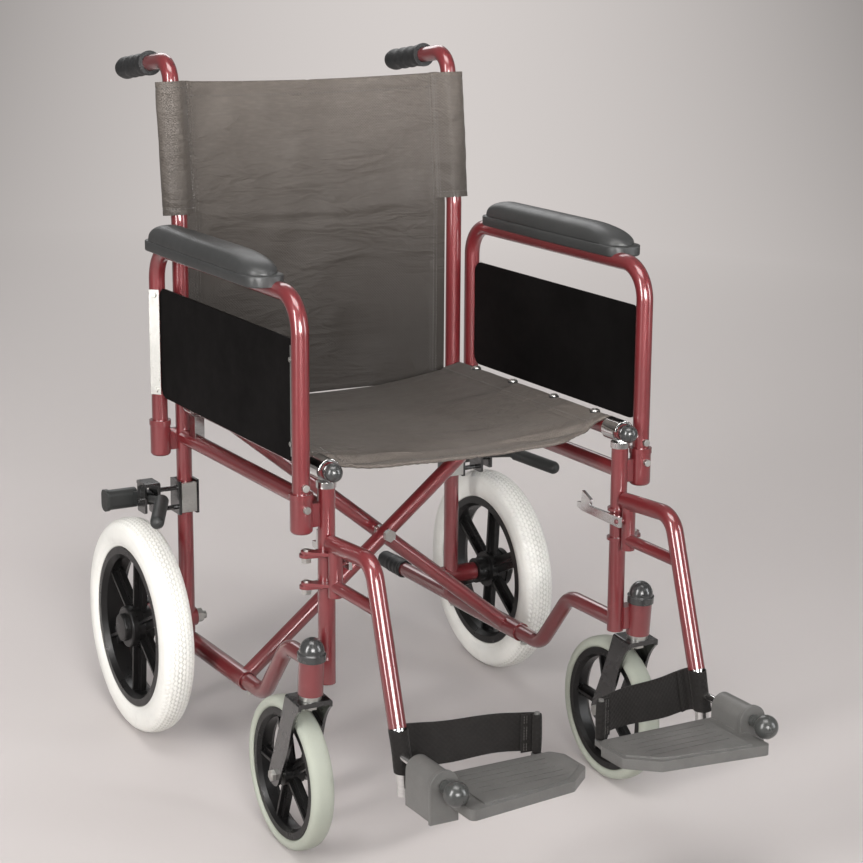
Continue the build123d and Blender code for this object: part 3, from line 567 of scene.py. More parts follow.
class Pile:
    """Collects small shapes into one mesh; slot 0 is the body and slot 1 the thread."""

    def __init__(self):
        self.verts, self.faces, self.slots, self.count = [], [], [], 0

    def add(self, verts, faces, slot=0):
        verts = np.asarray(verts, float).reshape(-1, 3)
        self.verts.append(verts)
        self.faces += [tuple(k + self.count for k in face) for face in faces]
        self.slots += [slot] * len(faces)
        self.count += len(verts)

    def sheet(self, front, back):
        """Closed sheet between two matching grids."""
        nu, nv = front.shape[:2]
        c = nu * nv
        faces = grid_faces(nu, nv) + grid_faces(nu, nv, base=c, flip=True)
        rim = [i * nv for i in range(nu)]
        rim += [(nu - 1) * nv + j for j in range(1, nv)]
        rim += [i * nv + nv - 1 for i in range(nu - 2, -1, -1)]
        rim += list(range(nv - 2, 0, -1))
        faces += [(b, a, a + c, b + c) for a, b in zip(rim, rim[1:] + rim[:1])]
        self.add(np.concatenate([front.reshape(-1, 3), back.reshape(-1, 3)]), faces)

    def tube(self, path, half_width, half_height, seg):
        """Elliptical cord along a path, narrowed at both ends."""
        run = unit(np.gradient(path, axis=0))
        side = unit(np.cross(run, (0.0, 0.0, 1.0)))
        up = np.cross(side, run)
        angle = np.linspace(0, 2 * np.pi, seg, endpoint=False)[None, :, None]
        n = len(path)
        scale = np.ones((n, 1, 1))
        scale[0] = scale[-1] = 0.55
        rings = (path[:, None, :] + half_width * scale * np.cos(angle) * side[:, None, :]
                 + half_height * scale * np.sin(angle) * up[:, None, :])
        caps = [tuple(range(seg))[::-1], tuple((n - 1) * seg + k for k in range(seg))]
        self.add(rings, ring_faces(n, seg) + caps)

    def stitch(self, at, along, normal, rise=0.45):
        """Six-sided bead lying on the cloth, tapered at both ends."""
        length, width, tip = 3.0, 0.55, 0.35
        along, normal = unit(np.asarray(along, float)), np.asarray(normal, float)
        side = unit(np.cross(along, normal))
        verts = []
        for s, w in ((-0.5, tip), (-0.25, 1.0), (0.25, 1.0), (0.5, tip)):
            for k in range(6):
                a = k * math.pi / 3
                verts.append(at + along * length * s + side * width * w * math.cos(a)
                             + normal * (rise * (w - tip) * 0.6 + rise * w * math.sin(a)))
        caps = [(5, 4, 3, 2, 1, 0), (18, 19, 20, 21, 22, 23)]
        self.add(verts, ring_faces(4, 6) + caps, slot=1)

    def sew(self, line, normals, first, margin, lift=0.0, top=math.inf):
        """Row of stitches along a line, none above the height top."""
        for i, at, run in stitch_places(line, first, margin):
            if line[i][2] <= top:
                self.stitch(at + normals[i] * lift, run, normals[i])

    def screw(self, at, radius, height):
        """Pan head facing up, with a cross recess."""
        seg = 32
        # radius and height of each ring as fractions: a dome, then the foot of the rim
        rings = [(r, 1 - 0.62 * r ** 3) for r in (0.14, 0.28, 0.42, 0.56, 0.72, 0.88, 1.0)]
        rings.append((1.0, 0.0))
        recess, arm_reach, arm_half = 0.5, 0.52, 0.15
        verts = [at + np.array([0, 0, height * (1 - recess)])]
        for r, level in rings:
            for k in range(seg):
                a = 2 * math.pi * k / seg
                x, y, z = r * math.cos(a), r * math.sin(a), height * level
                if max(abs(x), abs(y)) < arm_reach and min(abs(x), abs(y)) < arm_half:
                    z -= height * recess
                verts.append(at + np.array([-radius * y, radius * x, z]))
        bands = len(rings) - 1
        faces = [(0, a + 1, b + 1) for a, b in ring_pairs(1, seg)]
        faces += [(a + 1, a + seg + 1, b + seg + 1, b + 1) for a, b in ring_pairs(bands, seg)]
        faces.append(tuple(bands * seg + 1 + k for k in range(seg))[::-1])
        self.add(verts, faces)

    def build(self, name, materials, angle=50, place=to_row):
        """Makes the object, smooth except at edges sharper than angle degrees."""
        me = bpy.data.meshes.new(name)
        points = place(np.concatenate(self.verts))
        me.from_pydata([tuple(v) for v in points], [], self.faces)
        for key in materials:
            me.materials.append(MATERIALS[key])
        me.polygons.foreach_set("use_smooth", [True] * len(me.polygons))
        me.polygons.foreach_set("material_index", self.slots)
        me.update()
        ob = bpy.data.objects.new(name, me)
        scene.collection.objects.link(ob)
        bm = bmesh.new()
        bm.from_mesh(me)
        bmesh.ops.recalc_face_normals(bm, faces=bm.faces)
        for e in bm.edges:
            sharp = len(e.link_faces) == 2 and e.calc_face_angle(0) > math.radians(angle)
            e.smooth = not sharp
        bm.to_mesh(me)
        bm.free()
        return ob


def half_slice(middle, sign):
    """Grid columns of one side, with the middle column."""
    return slice(middle, None) if sign > 0 else slice(0, middle + 1)


def column_near(grid, x):
    return int(np.argmin(np.abs(grid[:, 40, 0] - x)))


# ---------------------------------------------------------------- cloth simulation
def relax(grid, held):
    """One light smoothing pass; held points stay."""
    a = np.pad(grid, ((1, 1), (1, 1), (0, 0)), mode="edge")
    mean = (a[:-2, 1:-1] + a[2:, 1:-1] + a[1:-1, :-2] + a[1:-1, 2:]) / 4
    return np.where(held[..., None], grid, 0.5 * grid + 0.5 * mean)


def drape(name, start, rest, held, gravity, frames, bending):
    """Runs cloth on a (nu, nv, 3) square-frame grid and returns where it settles."""
    stiffness = 16
    travel = 0.018  # furthest a point may move, metres
    start, rest = to_row(start), to_row(rest)
    nu, nv = start.shape[:2]
    me = bpy.data.meshes.new(name)
    me.from_pydata([tuple(v) for v in start.reshape(-1, 3)], [], grid_faces(nu, nv))
    ob = bpy.data.objects.new(name, me)
    scene.collection.objects.link(ob)
    ob.shape_key_add(name="Basis")
    key = ob.shape_key_add(name="rest")
    key.data.foreach_set("co", rest.astype(np.float32).ravel())
    group = ob.vertex_groups.new(name="pin")
    group.add(np.nonzero(held.ravel())[0].tolist(), 1.0, "REPLACE")
    mod = ob.modifiers.new("cloth", "CLOTH")
    s = mod.settings
    s.quality = 6
    s.mass = 0.12
    s.tension_stiffness = s.compression_stiffness = stiffness
    s.shear_stiffness = stiffness * 0.35
    s.bending_stiffness = bending
    s.tension_damping = s.compression_damping = 8
    s.air_damping = 2.0
    s.vertex_group_mass = "pin"
    s.rest_shape_key = key
    mod.collision_settings.use_collision = False
    mod.collision_settings.use_self_collision = False
    mod.point_cache.frame_start, mod.point_cache.frame_end = 1, frames
    scene_gravity = tuple(scene.gravity)
    scene.gravity = gravity
    for f in range(1, frames + 1):
        scene.frame_set(f)
    settled = ob.evaluated_get(bpy.context.evaluated_depsgraph_get())
    co = np.zeros(nu * nv * 3, np.float32)
    settled.data.vertices.foreach_get("co", co)
    bpy.data.objects.remove(ob)
    bpy.data.meshes.remove(me)
    scene.frame_set(1)
    scene.gravity = scene_gravity
    move = co.reshape(nu, nv, 3).astype(float) - start
    size = np.linalg.norm(move, axis=-1, keepdims=True)
    move *= np.minimum(1.0, travel / np.maximum(size, 1e-9))
    return relax(to_square(start + move), held)


# ---------------------------------------------------------------- seat
SEAT_COLUMNS, SEAT_ROWS = 97, 93   # across, front to rear
SEAT_REAR_Y = 424
WRAP_STEPS = 12                    # rings round each rail, the first being the seat's edge
CLOTH_HALF = 0.8                   # half the thickness of the seat and back cloth


def seat_front(x):
    """Front edge: nearly straight, cut back at each corner, forward again on the rail."""
    away = np.abs(x)
    y = -6.0 - 3.0 * np.cos(away / 150 * np.pi / 2).clip(0, 1)
    left_only = np.where(np.asarray(x) < 0, 6.0, 0.0)
    y = y + smooth((away - 120) / 88) * 40 - left_only * bell(away - 165, 32)
    return y - smooth((away - 204) / 26) * 16


def seat_between_rails():
    """Settled middle surface of the seat from rail top to rail top."""
    x = np.repeat(np.linspace(-RAIL_X, RAIL_X, SEAT_COLUMNS)[:, None], SEAT_ROWS, 1)
    front = seat_front(x)
    y = front + np.linspace(0, 1, SEAT_ROWS)[None, :] * (SEAT_REAR_Y - front)
    slack = 1 - (x / RAIL_X) ** 2
    sag = 9.0 * slack
    flat = np.stack([x, y, RAIL_Z + WRAP - sag * 0.35], -1)
    rest = flat.copy()
    rest[..., 0] *= 1.004
    rest[..., 1] = 210 + (rest[..., 1] - 210) * 1.028
    # extra cloth towards the front corners
    near = bell(np.abs(x) - 150, 70) * bell(y - 60, 90)
    rest[..., 0] += np.sign(x) * near * 1.8
    rest[..., 1] -= near * 6.0
    start = flat.copy()
    start[..., 2] += 1.2 * ripple(x, y, seed=4, scale=60) * slack
    seat = drape("seat_sim", start, rest, held=np.abs(x) > RAIL_X - 3,
                 gravity=(0, 0, -5.0), frames=32, bending=0.08)
    x, y, z = np.moveaxis(seat, -1, 0)  # views, so changes to z reach the seat
    away = np.abs(x)
    # the front hem hangs a little, more so at the left-hand corner
    z -= 5.0 * bell(y + 8, 40) * (1 - (x / RAIL_X) ** 2).clip(0, 1)
    z -= 2.5 * bell(x + 160, 34) * bell(y - 18, 40)
    # double layer beside each rail, with a stitched inner edge
    z += 1.3 * smooth((away - 186) / 4) - 1.2 * bell(away - 184.5, 3.5)
    # dimples round the screws
    for screw_y in SCREW_YS:
        z -= 0.5 * np.exp(-((away - RAIL_X) ** 2 + (y - screw_y) ** 2) / 220)
    return seat


def rail_wrap(edge, sign):
    """Rings that carry an edge of the seat down the outside of its rail."""
    y, z = edge[:, 1], edge[:, 2]
    frontness = (1 - np.linspace(0, 1, SEAT_ROWS)) ** 3
    rings = []
    for k, a in enumerate(np.radians(np.linspace(90, 12, WRAP_STEPS))[1:]):
        shift = seat_front(sign * (RAIL_X + WRAP * np.cos(a))) - seat_front(sign * RAIL_X)
        r = WRAP + 0.35 * ripple(y, 10.0 * k, seed=9, scale=60)
        rings.append(np.stack([
            sign * (RAIL_X + r * np.cos(a)), y + shift * frontness,
            RAIL_Z + r * np.sin(a) + (z - RAIL_Z - WRAP) * np.sin(a)], -1))
    return np.stack(rings)


def seat_fabric(side, sign, surface, normals):
    columns = half_slice(WRAP_STEPS - 1 + SEAT_COLUMNS // 2, sign)
    part, normal = surface[columns], normals[columns]
    pile = Pile()
    pile.sheet(part + normal * CLOTH_HALF, part - normal * CLOTH_HALF)
    # rolled front hem, with small puckers
    hem = part[:, 0] + np.array([0, 0.6, -1.2])
    keep = np.abs(hem[:, 0]) < 222
    hem = hem[keep]
    hem[:, 2] += 0.35 * np.sin(hem[:, 0] * 0.9)
    hem[:, 1] += 0.3 * np.sin(hem[:, 0] * 0.55 + 1)
    pile.tube(hem, half_width=3.0, half_height=2.5, seg=12)
    # stitches behind the front hem and in a line beside the rail
    hem_normal = normal[:, 2][keep]
    pile.sew(part[:, 2][keep] + hem_normal, hem_normal, first=4, margin=3)
    i = column_near(part, sign * 189.5)
    pile.sew(part[i] + normal[i], normal[i], first=5, margin=3)
    ob = pile.build(f"seat_fabric_{side}", ["nylon_seat", "thread"])
    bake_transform(ob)
    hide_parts(f"seat_sling_{side}")


def seat_screws(side, sign):
    heads = Pile()
    for y in SCREW_YS:
        heads.screw(np.array([sign * RAIL_X, y, RAIL_Z + 15.0]), radius=6.2, height=3.2)
    ob = heads.build(f"seat_screws_{side}", ["zinc_steel"])
    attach(ob, CARRIER[side])


def rail_band(side, sign):
    """Chrome half band over the front end of a seat rail, its end corners eased."""
    angle = np.radians(np.linspace(8, 172, 34))[:, None]
    ys = np.array([-9.0, -8.6, 0.0, 10.0, 18.0, 23.6, 24.0])
    ease = np.array([0.35, 0.0, 0.0, 0.0, 0.0, 0.0, 0.35])
    outer, inner = [np.stack([RAIL_X * sign + sign * np.cos(angle) * r[None, :],
                              np.repeat(ys[None, :], len(angle), 0),
                              RAIL_Z + np.sin(angle) * r[None, :]], -1)
                    for r in (14.9 - ease, 11.3 + ease)]
    pile = Pile()
    pile.sheet(outer, inner)
    ob = pile.build(f"rail_band_{side}", ["chrome_steel"], angle=40)
    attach(ob, CARRIER[side])


seat = seat_between_rails()
seat = np.concatenate([rail_wrap(seat[0], -1.0)[::-1], seat, rail_wrap(seat[-1], 1.0)])
seat_normals = grid_normals(seat)
for side, sign in SIDES:
    seat_fabric(side, sign, seat, seat_normals)
    seat_screws(side, sign)
for side, sign in SIDES:
    rail_band(side, sign)

# ---------------------------------------------------------------- back
BACK_COLUMNS, BACK_ROWS = 91, 97   # across, bottom to top
BACK_HALF_WIDTH = 203
BACK_LOW_Z, BACK_TOP_Z = 492.0, 943.0


def cane_y(z):
    """Centre of the cane at a height, with its soft break."""
    above = z - BREAK_Z
    slope = CANE_RISE[1] / CANE_RISE[2]
    return CANE_Y + slope * 0.5 * (above + np.sqrt(above * above + 60.0))


def back_surface():
    """Settled middle surface of the back fabric."""
    across = np.linspace(-BACK_HALF_WIDTH, BACK_HALF_WIDTH, BACK_COLUMNS)
    x = np.repeat(across[:, None], BACK_ROWS, 1)
    top_dip = 3.0 * (1 - (x / BACK_HALF_WIDTH) ** 2)
    up = np.linspace(0, 1, BACK_ROWS)[None, :]
    z = BACK_LOW_Z + up * (BACK_TOP_Z - top_dip - BACK_LOW_Z)
    flat = np.stack([x, cane_y(z) + 4.6, z], -1)
    slack = (1 - (x / 190) ** 2).clip(0, 1)
    rest = flat.copy()
    rest[..., 0] *= 1.002
    rest[..., 2] = 720 + (rest[..., 2] - 720) * 1.017
    # extra cloth at both sides near the break, and low on the right
    near = (bell(np.abs(x) - 150, 70) * bell(z - 760, 60)
            + bell(x - 120, 80) * bell(z - 560, 50))
    rest[..., 0] += np.sign(x) * near * 1.2
    rest[..., 2] += near * 2.0
    start = flat.copy()
    start[..., 1] += (1.5 + 0.9 * ripple(x, z, seed=6, scale=70)) * slack
    return drape("back_sim", start, rest, held=np.abs(x) > 186,
                 gravity=(0, 2.4, -3.2), frames=30, bending=0.10)


back = back_surface()
back_normals = grid_normals(back)  # forward
# the top edge and both sides are doubled, with a dip along each stitched line
away = np.abs(back[..., 0])
below_top = back[..., 2] - BACK_TOP_Z
hems = np.maximum(smooth((below_top + 19) / 3), smooth((away - 181) / 3))
hem_lift = (0.7 * hems - 0.8 * bell(below_top + 20.5, 2.2)
            - 0.7 * bell(away - 180, 2.4))[..., None]
back_front = back + back_normals * (CLOTH_HALF + hem_lift * 0.9)
back_rear = back - back_normals * (CLOTH_HALF + 0.4 * hem_lift)


def back_fabric(side, sign):
    columns = half_slice(BACK_COLUMNS // 2, sign)
    part, normal, face = back[columns], back_normals[columns], back_front[columns]
    pile = Pile()
    pile.sheet(face, back_rear[columns])
    # rounded fold along the top edge
    pile.tube(part[:, -1] + np.array([0, 0, -0.3]), half_width=1.9, half_height=1.5, seg=10)
    hem_row = BACK_ROWS - 5
    pile.sew(face[:, hem_row], normal[:, hem_row], first=3, margin=12, lift=0.15)
    # double row down each side; the outer one starts lower
    for x, top in ((184.5, math.inf), (190.5, 768)):
        i = column_near(part, sign * x)
        pile.sew(face[i], normal[i], first=4, margin=6, lift=0.15, top=top)
    ob = pile.build(f"back_fabric_{side}", ["nylon_grey", "thread"])
    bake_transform(ob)
    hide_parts(f"back_sling_{side}")


for side, sign in SIDES:
    back_fabric(side, sign)

# ---------------------------------------------------------------- back sleeves
# section round the cane: outward from its centre, rearward from its centre
SLEEVE_OUTLINE = [
    (-27.0, 2.4), (-22, 0.2), (-15, -6.5), (-8, -12.2), (0, -14.2), (9, -13.0), (17, -9.0),
    (21.6, -1.0), (19.5, 7.0), (12, 12.0), (3, 14.2), (-7, 13.2), (-15, 9.8), (-22, 7.2),
    (-27.0, 6.6), (-28.0, 4.5)]
SLEEVE_SEG, SLEEVE_RINGS = 84, 64
SLEEVE_LOW, SLEEVE_HIGH = 8.0, 187.5   # distance up the cane from its break
SLEEVE_SEED = {"right": 21, "left": 33}
SLEEVE_RING = closed_spline(SLEEVE_OUTLINE, SLEEVE_SEG)
CANE_DIR = unit(CANE_RISE)
CANE_REARWARD = np.array([0, CANE_DIR[2], -CANE_DIR[1]])


def sleeve_section(t, seed):
    """Outer and inner section at fraction t up the sleeve."""
    s = SLEEVE_LOW + t * (SLEEVE_HIGH - SLEEVE_LOW)
    x = SLEEVE_RING[:, 0]
    # slack cloth: slanting folds, tighter at both hems and at the seam
    fold = (1.3 * ripple(x * 1.4, s * 0.55, seed, scale=42)
            + 0.8 * ripple(x * 2.2, s, seed + 1, scale=26))
    free = smooth((x + 20) / 14)
    ends = 0.35 + 0.65 * np.sin(np.pi * np.clip(t, 0.03, 0.97))
    hem_dip = 0.5 * bell(s - SLEEVE_LOW - 9, 1.8) + 0.5 * bell(SLEEVE_HIGH - 9 - s, 1.8)
    outward = unit(SLEEVE_RING)
    outer = SLEEVE_RING + outward * (0.5 + fold * free * ends - hem_dip)[:, None]
    outer[:, 1] += 0.35 * bell(x + 23, 3.0) * math.sin(s * 1.45)  # seam puckers
    # keep clear of the cane
    clear = 13.4
    radius = np.linalg.norm(outer, axis=1)
    near = (x > -14) & (radius < clear)
    outer[near] *= (clear / radius[near])[:, None]
    inner = outer - outward * 1.2
    # at the flat seam the thickness runs front to rear
    tail = smooth((-x - 16) / 8)
    inner[:, 1] = (inner[:, 1] * (1 - tail)
                   + (outer[:, 1] - np.sign(outer[:, 1] - 4.5) * 1.1) * tail)
    inner[:, 0] += tail * 0.8
    return s, outer, inner


def sleeve_shell(side, sign):
    """Outer and inner grids of a sleeve, ring by ring up the cane."""
    outer, inner = [], []
    for k in range(SLEEVE_RINGS):
        s, *sections = sleeve_section(k / (SLEEVE_RINGS - 1), SLEEVE_SEED[side])
        base = np.array([RAIL_X, CANE_Y, BREAK_Z]) + CANE_DIR * s
        for store, q in zip((outer, inner), sections):
            store.append(np.stack([sign * (base[0] + q[:, 0]),
                                   base[1] + q[:, 1] * CANE_REARWARD[1],
                                   base[2] + q[:, 1] * CANE_REARWARD[2]], -1))
    return np.array(outer), np.array(inner)


def back_sleeve(side, sign):
    outer, inner = sleeve_shell(side, sign)
    seg, rings = SLEEVE_SEG, SLEEVE_RINGS
    c = rings * seg
    last = c - seg
    faces = []
    for a, b in ring_pairs(rings - 1, seg):
        faces.append((a, b, b + seg, a + seg))
        faces.append((a + c, a + seg + c, b + seg + c, b + c))
    for a, b in ring_pairs(1, seg):
        faces.append((a, a + c, b + c, b))
        faces.append((a + last, b + last, b + last + c, a + last + c))
    pile = Pile()
    pile.add(np.concatenate([outer.reshape(-1, 3), inner.reshape(-1, 3)]), faces)
    # two rows of stitches on the seam, front and rear
    for row_x in (-24.6, -20.8):
        for on_front in (True, False):
            choices = [i for i in range(seg) if SLEEVE_RING[i, 0] < -10
                       and (SLEEVE_RING[i, 1] < 4.4) == on_front]
            i = min(choices, key=lambda j: abs(SLEEVE_RING[j, 0] - row_x))
            line = outer[:, i]
            normals = unit(np.cross(outer[:, (i + 1) % seg] - line,
                                    np.gradient(line, axis=0)))
            normals *= np.sign(normals[:, 1:2]) * (-1 if on_front else 1)
            pile.sew(line, normals, first=4, margin=3)
    # one row round each hem
    for k in (3, rings - 4):
        line = np.concatenate([outer[k], outer[k][:1]])
        middle = line.mean(0)
        for _, at, run in stitch_places(line, first=2, margin=2):
            normal = unit(np.cross(run, CANE_DIR))
            if np.dot(normal, at - middle) < 0:
                normal = -normal
            pile.stitch(at, run, normal)
    ob = pile.build(f"back_sleeve_fabric_{side}", ["nylon_grey", "thread"])
    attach(ob, f"{side}_frame")
    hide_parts(f"back_sleeve_{side}")


for side, sign in SIDES:
    back_sleeve(side, sign)

# ---------------------------------------------------------------- arm pads
PAD_X, PAD_BASE_Z = 262.0, 727.0
PAD_FRONT_Y, PAD_REAR_Y = 57.2, 412.8
PAD_LENGTH = PAD_REAR_Y - PAD_FRONT_Y
PAD_CORNER = 19.0       # plan radius of the corners
PAD_STATIONS = 130
PAD_CROWN = np.linspace(0, np.pi, 57)


def quarter_round(distance, length):
    """Rises from 0 to 1 over a length, as a quarter ellipse."""
    return math.sqrt(max(0.0, 1 - (1 - min(1.0, distance / length)) ** 2))


def pad_section(t):
    """Closed section at fraction t of the length: (across, height) points.

    A domed crown stands on a plain wall, with a narrow ledge round its ends.
    """
    end = min(t, 1 - t) * PAD_LENGTH
    # plan: rounded ends, a little narrower at the rear
    half = 25.8 - 2.4 * float(smooth((t - 0.45) / 0.55))
    half -= PAD_CORNER - PAD_CORNER * quarter_round(end, PAD_CORNER)
    wall = 14.0 * min(1.0, 0.86 + end / 30.0)
    fall, nose = (92.0, 44.0) if t < 0.5 else (48.0, 30.0)  # crown's run-out: height, width
    inside = max(0.0, end - 4.5)
    rise = wall + 0.9 + 22.4 * quarter_round(inside, fall) ** 1.1
    wide = (half - 0.9) * max(0.05, quarter_round(inside, nose) ** 0.8)
    cosine, sine = np.cos(PAD_CROWN), np.sin(PAD_CROWN)
    crown = zip(wide * np.sign(cosine) * np.abs(cosine) ** 0.74,
                wall + 0.7 + (rise - wall - 0.7) * np.abs(sine) ** 0.80)
    # wall from ledge to base: inset, height
    flank = [(1.5, wall + 0.15), (0.5, wall - 0.5), (0, wall - 1.2), (0, wall * 0.6),
             (0, 2.2), (0.5, 0.8), (1.8, 0.0)]
    return (list(crown) + [(-half + inset, z) for inset, z in flank]
            + [(-half * 0.5, 0.0), (0.0, 0.0), (half * 0.5, 0.0)]
            + [(half - inset, z) for inset, z in flank[::-1]])


def arm_pad(side, sign):
    even = np.linspace(0, 1, PAD_STATIONS)
    stations = 0.35 * even + 0.65 * (0.5 - 0.5 * np.cos(even * np.pi))  # closer at the ends
    verts = []
    for t in stations:
        section = pad_section(t)
        verts += [(sign * (PAD_X + x), PAD_FRONT_Y + t * PAD_LENGTH, PAD_BASE_Z + z)
                  for x, z in section]
    seg = len(section)
    caps = [tuple(range(seg)), tuple((PAD_STATIONS - 1) * seg + k for k in range(seg))]
    pile = Pile()
    pile.add(verts, ring_faces(PAD_STATIONS, seg) + caps)
    ob = pile.build(f"arm_pad_skin_{side}", ["pad_foam"], angle=55)
    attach(ob, f"{side}_armrest")
    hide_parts(f"arm_pad_{side}")


for side, sign in SIDES:
    arm_pad(side, sign)

# ---------------------------------------------------------------- rear tyres
AXLE_X, AXLE_Y, AXLE_Z = 287.0, 433.0, 152.7   # upright frame
TREAD_RADIUS = 152.0
TREAD_PITCH = 2 * np.pi * TREAD_RADIUS / 120
TYRE_STEPS = 720
GROOVE_DEPTH = 1.7
# half the carcass section from bead to crown: across, radius
CARCASS = [(-19.4, 114.4), (-23.0, 124), (-23.2, 133), (-20.4, 143.6), (-14, 149.8),
           (-6, 152.1), (0, 152.6)]
# zigzag grooves: centre across the tread, direction of the first zig
GROOVES = ((-15.5, 1), (-10.5, -1), (-5.2, 1), (0.0, -1), (5.2, 1), (10.5, -1), (15.5, 1))


def tyre_surface():
    """Across offset, radius and angle of every point, as (steps, profile) grids."""
    carcass = even_spline(CARCASS + [(-x, r) for x, r in CARCASS[-2::-1]], 96)
    profile = np.vstack([[(-14.0, 107.1), (-15.4, 113.1)], carcass,
                         [(15.4, 113.1), (14.0, 107.1)]])
    theta = (np.arange(TYRE_STEPS) * 2 * np.pi / TYRE_STEPS)[:, None]
    x = np.repeat(profile[None, :, 0], TYRE_STEPS, 0)
    r = np.repeat(profile[None, :, 1], TYRE_STEPS, 0)
    turn = theta * TREAD_RADIUS / TREAD_PITCH
    zigzag = 2.0 * np.abs((turn % 1.0) * 2 - 1)  # 0 to 2 mm
    depth = np.zeros_like(r)
    for centre, direction in GROOVES:
        offset = np.abs(x - (centre + direction * (zigzag - 1.0) * 1.35))
        depth += GROOVE_DEPTH * bell(offset, 0.62)
    # short nicks across both shoulders
    away = np.abs(x)
    nick = (bell(((turn + 0.25) % 1.0 - 0.5) * TREAD_PITCH, 0.9)
            * smooth(away - 15.0) * smooth(20.6 - away))
    depth = np.where(r > 144, np.minimum(depth, GROOVE_DEPTH) + 1.3 * nick, 0.0)
    # two thin rings moulded on each sidewall
    rings = 0.35 * bell(r - 139.0, 0.7) + 0.45 * bell(r - 119.5, 0.7)
    return x + np.sign(x) * rings * (r > 115), r - depth * 0.95, theta


def rear_tyre(side, sign):
    x, r, theta = tyre_surface()
    verts = np.stack([sign * (AXLE_X + x), AXLE_Y + r * np.cos(theta),
                      AXLE_Z + r * np.sin(theta)], -1)
    n = x.shape[1]
    faces = []
    for i in range(TYRE_STEPS):
        here, ahead = i * n, (i + 1) % TYRE_STEPS * n
        for j in range(n):
            k = (j + 1) % n
            faces.append((here + j, ahead + j, ahead + k, here + k))
    pile = Pile()
    pile.add(verts, faces)
    ob = pile.build(f"rear_tyre_tread_{side}", ["tyre_white"], angle=60,
                    place=upright_to_row)
    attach(ob, f"{side}_rear_wheel")
    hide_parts(f"rear_tyre_{side}")


for side, sign in SIDES:
    rear_tyre(side, sign)

# ---------------------------------------------------------------- heel straps
PEG, PEG_WRAP = (46, -222), 5.2            # plan centre and strap radius
LEG, LEG_WRAP = (RAIL_X, -192.7), 11.4
STRAP_LOW_Z, STRAP_WIDTH = 186.6, 49.0
STRAP_ROWS = 15


def arc(centre, radius, degrees):
    return [(centre[0] + radius * math.cos(a), centre[1] + radius * math.sin(a))
            for a in np.radians(degrees)]


# plan of the right band: lapped end, round the peg, across, round the leg tube, lapped end
STRAP_PLAN = (
    [(64, -215.3), (54, -216.0)]
    + arc(PEG, PEG_WRAP, [60, 0, -60, -120, -180, -230])
    + [(47, -215.0), (60, -209.2), (82, -201.8), (112, -196.2), (150, -192.6),
       (185, -185.6), (204, -181.4)]
    + arc(LEG, LEG_WRAP, [100, 60, 20, -20, -60, -100, -140, -180, -215])
    + [(199, -184.2), (188, -187.4)])


def heel_strap(side, sign):
    line = stepped_spline(STRAP_PLAN, 3.0)
    run = unit(np.gradient(line, axis=0))
    across = np.stack([-run[:, 1], run[:, 0], np.zeros(len(line))], -1)[:, None, :]
    x, y = line[:, :1], line[:, 1:]
    h = np.linspace(0, 1, STRAP_ROWS)[None, :]
    z = STRAP_LOW_Z + h * STRAP_WIDTH
    bow = 0.9 * np.sin(x * 0.045 + 0.6) * np.sin(np.pi * h)
    lean = 0.294 * (z - 211) * smooth((x - 60) / 130)  # follows the leg tube
    wave = 1.2 * np.sin(x * 0.028) * smooth((x - 60) / 40) * smooth((200 - x) / 40)
    grid = np.stack([x + across[..., 0] * bow, y + across[..., 1] * bow + lean, z + wave], -1)
    half_thick = (0.85 - 0.25 * (np.abs(h - 0.5) > 0.46))[..., None]
    pile = Pile()
    pile.sheet(grid + across * half_thick, grid - across * half_thick)
    # upright stitch rows: two on the lapped end by the peg, one by the leg tube
    stitched = [int(np.argmin(np.abs(line[:10, 0] - row_x))) for row_x in (57.0, 62.0)]
    stitched.append(int(np.argmin(np.abs(line[12:-12, 0] - 193.0))) + 12)
    for i in stitched:
        for f in np.linspace(0.07, 0.93, 11):
            at = grid[i, int(round(f * (STRAP_ROWS - 1)))]
            for face in (1, -1):
                normal = face * across[i, 0]
                pile.stitch(at + normal * 0.95, (0, 0, 1), normal, rise=0.4)
    pile.verts = [v * np.array([sign, 1, 1]) for v in pile.verts]
    ob = pile.build(f"heel_strap_band_{side}", ["webbing_brown", "thread"])
    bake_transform(ob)
    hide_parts(f"heel_strap_{side}")


for side, sign in SIDES:
    heel_strap(side, sign)


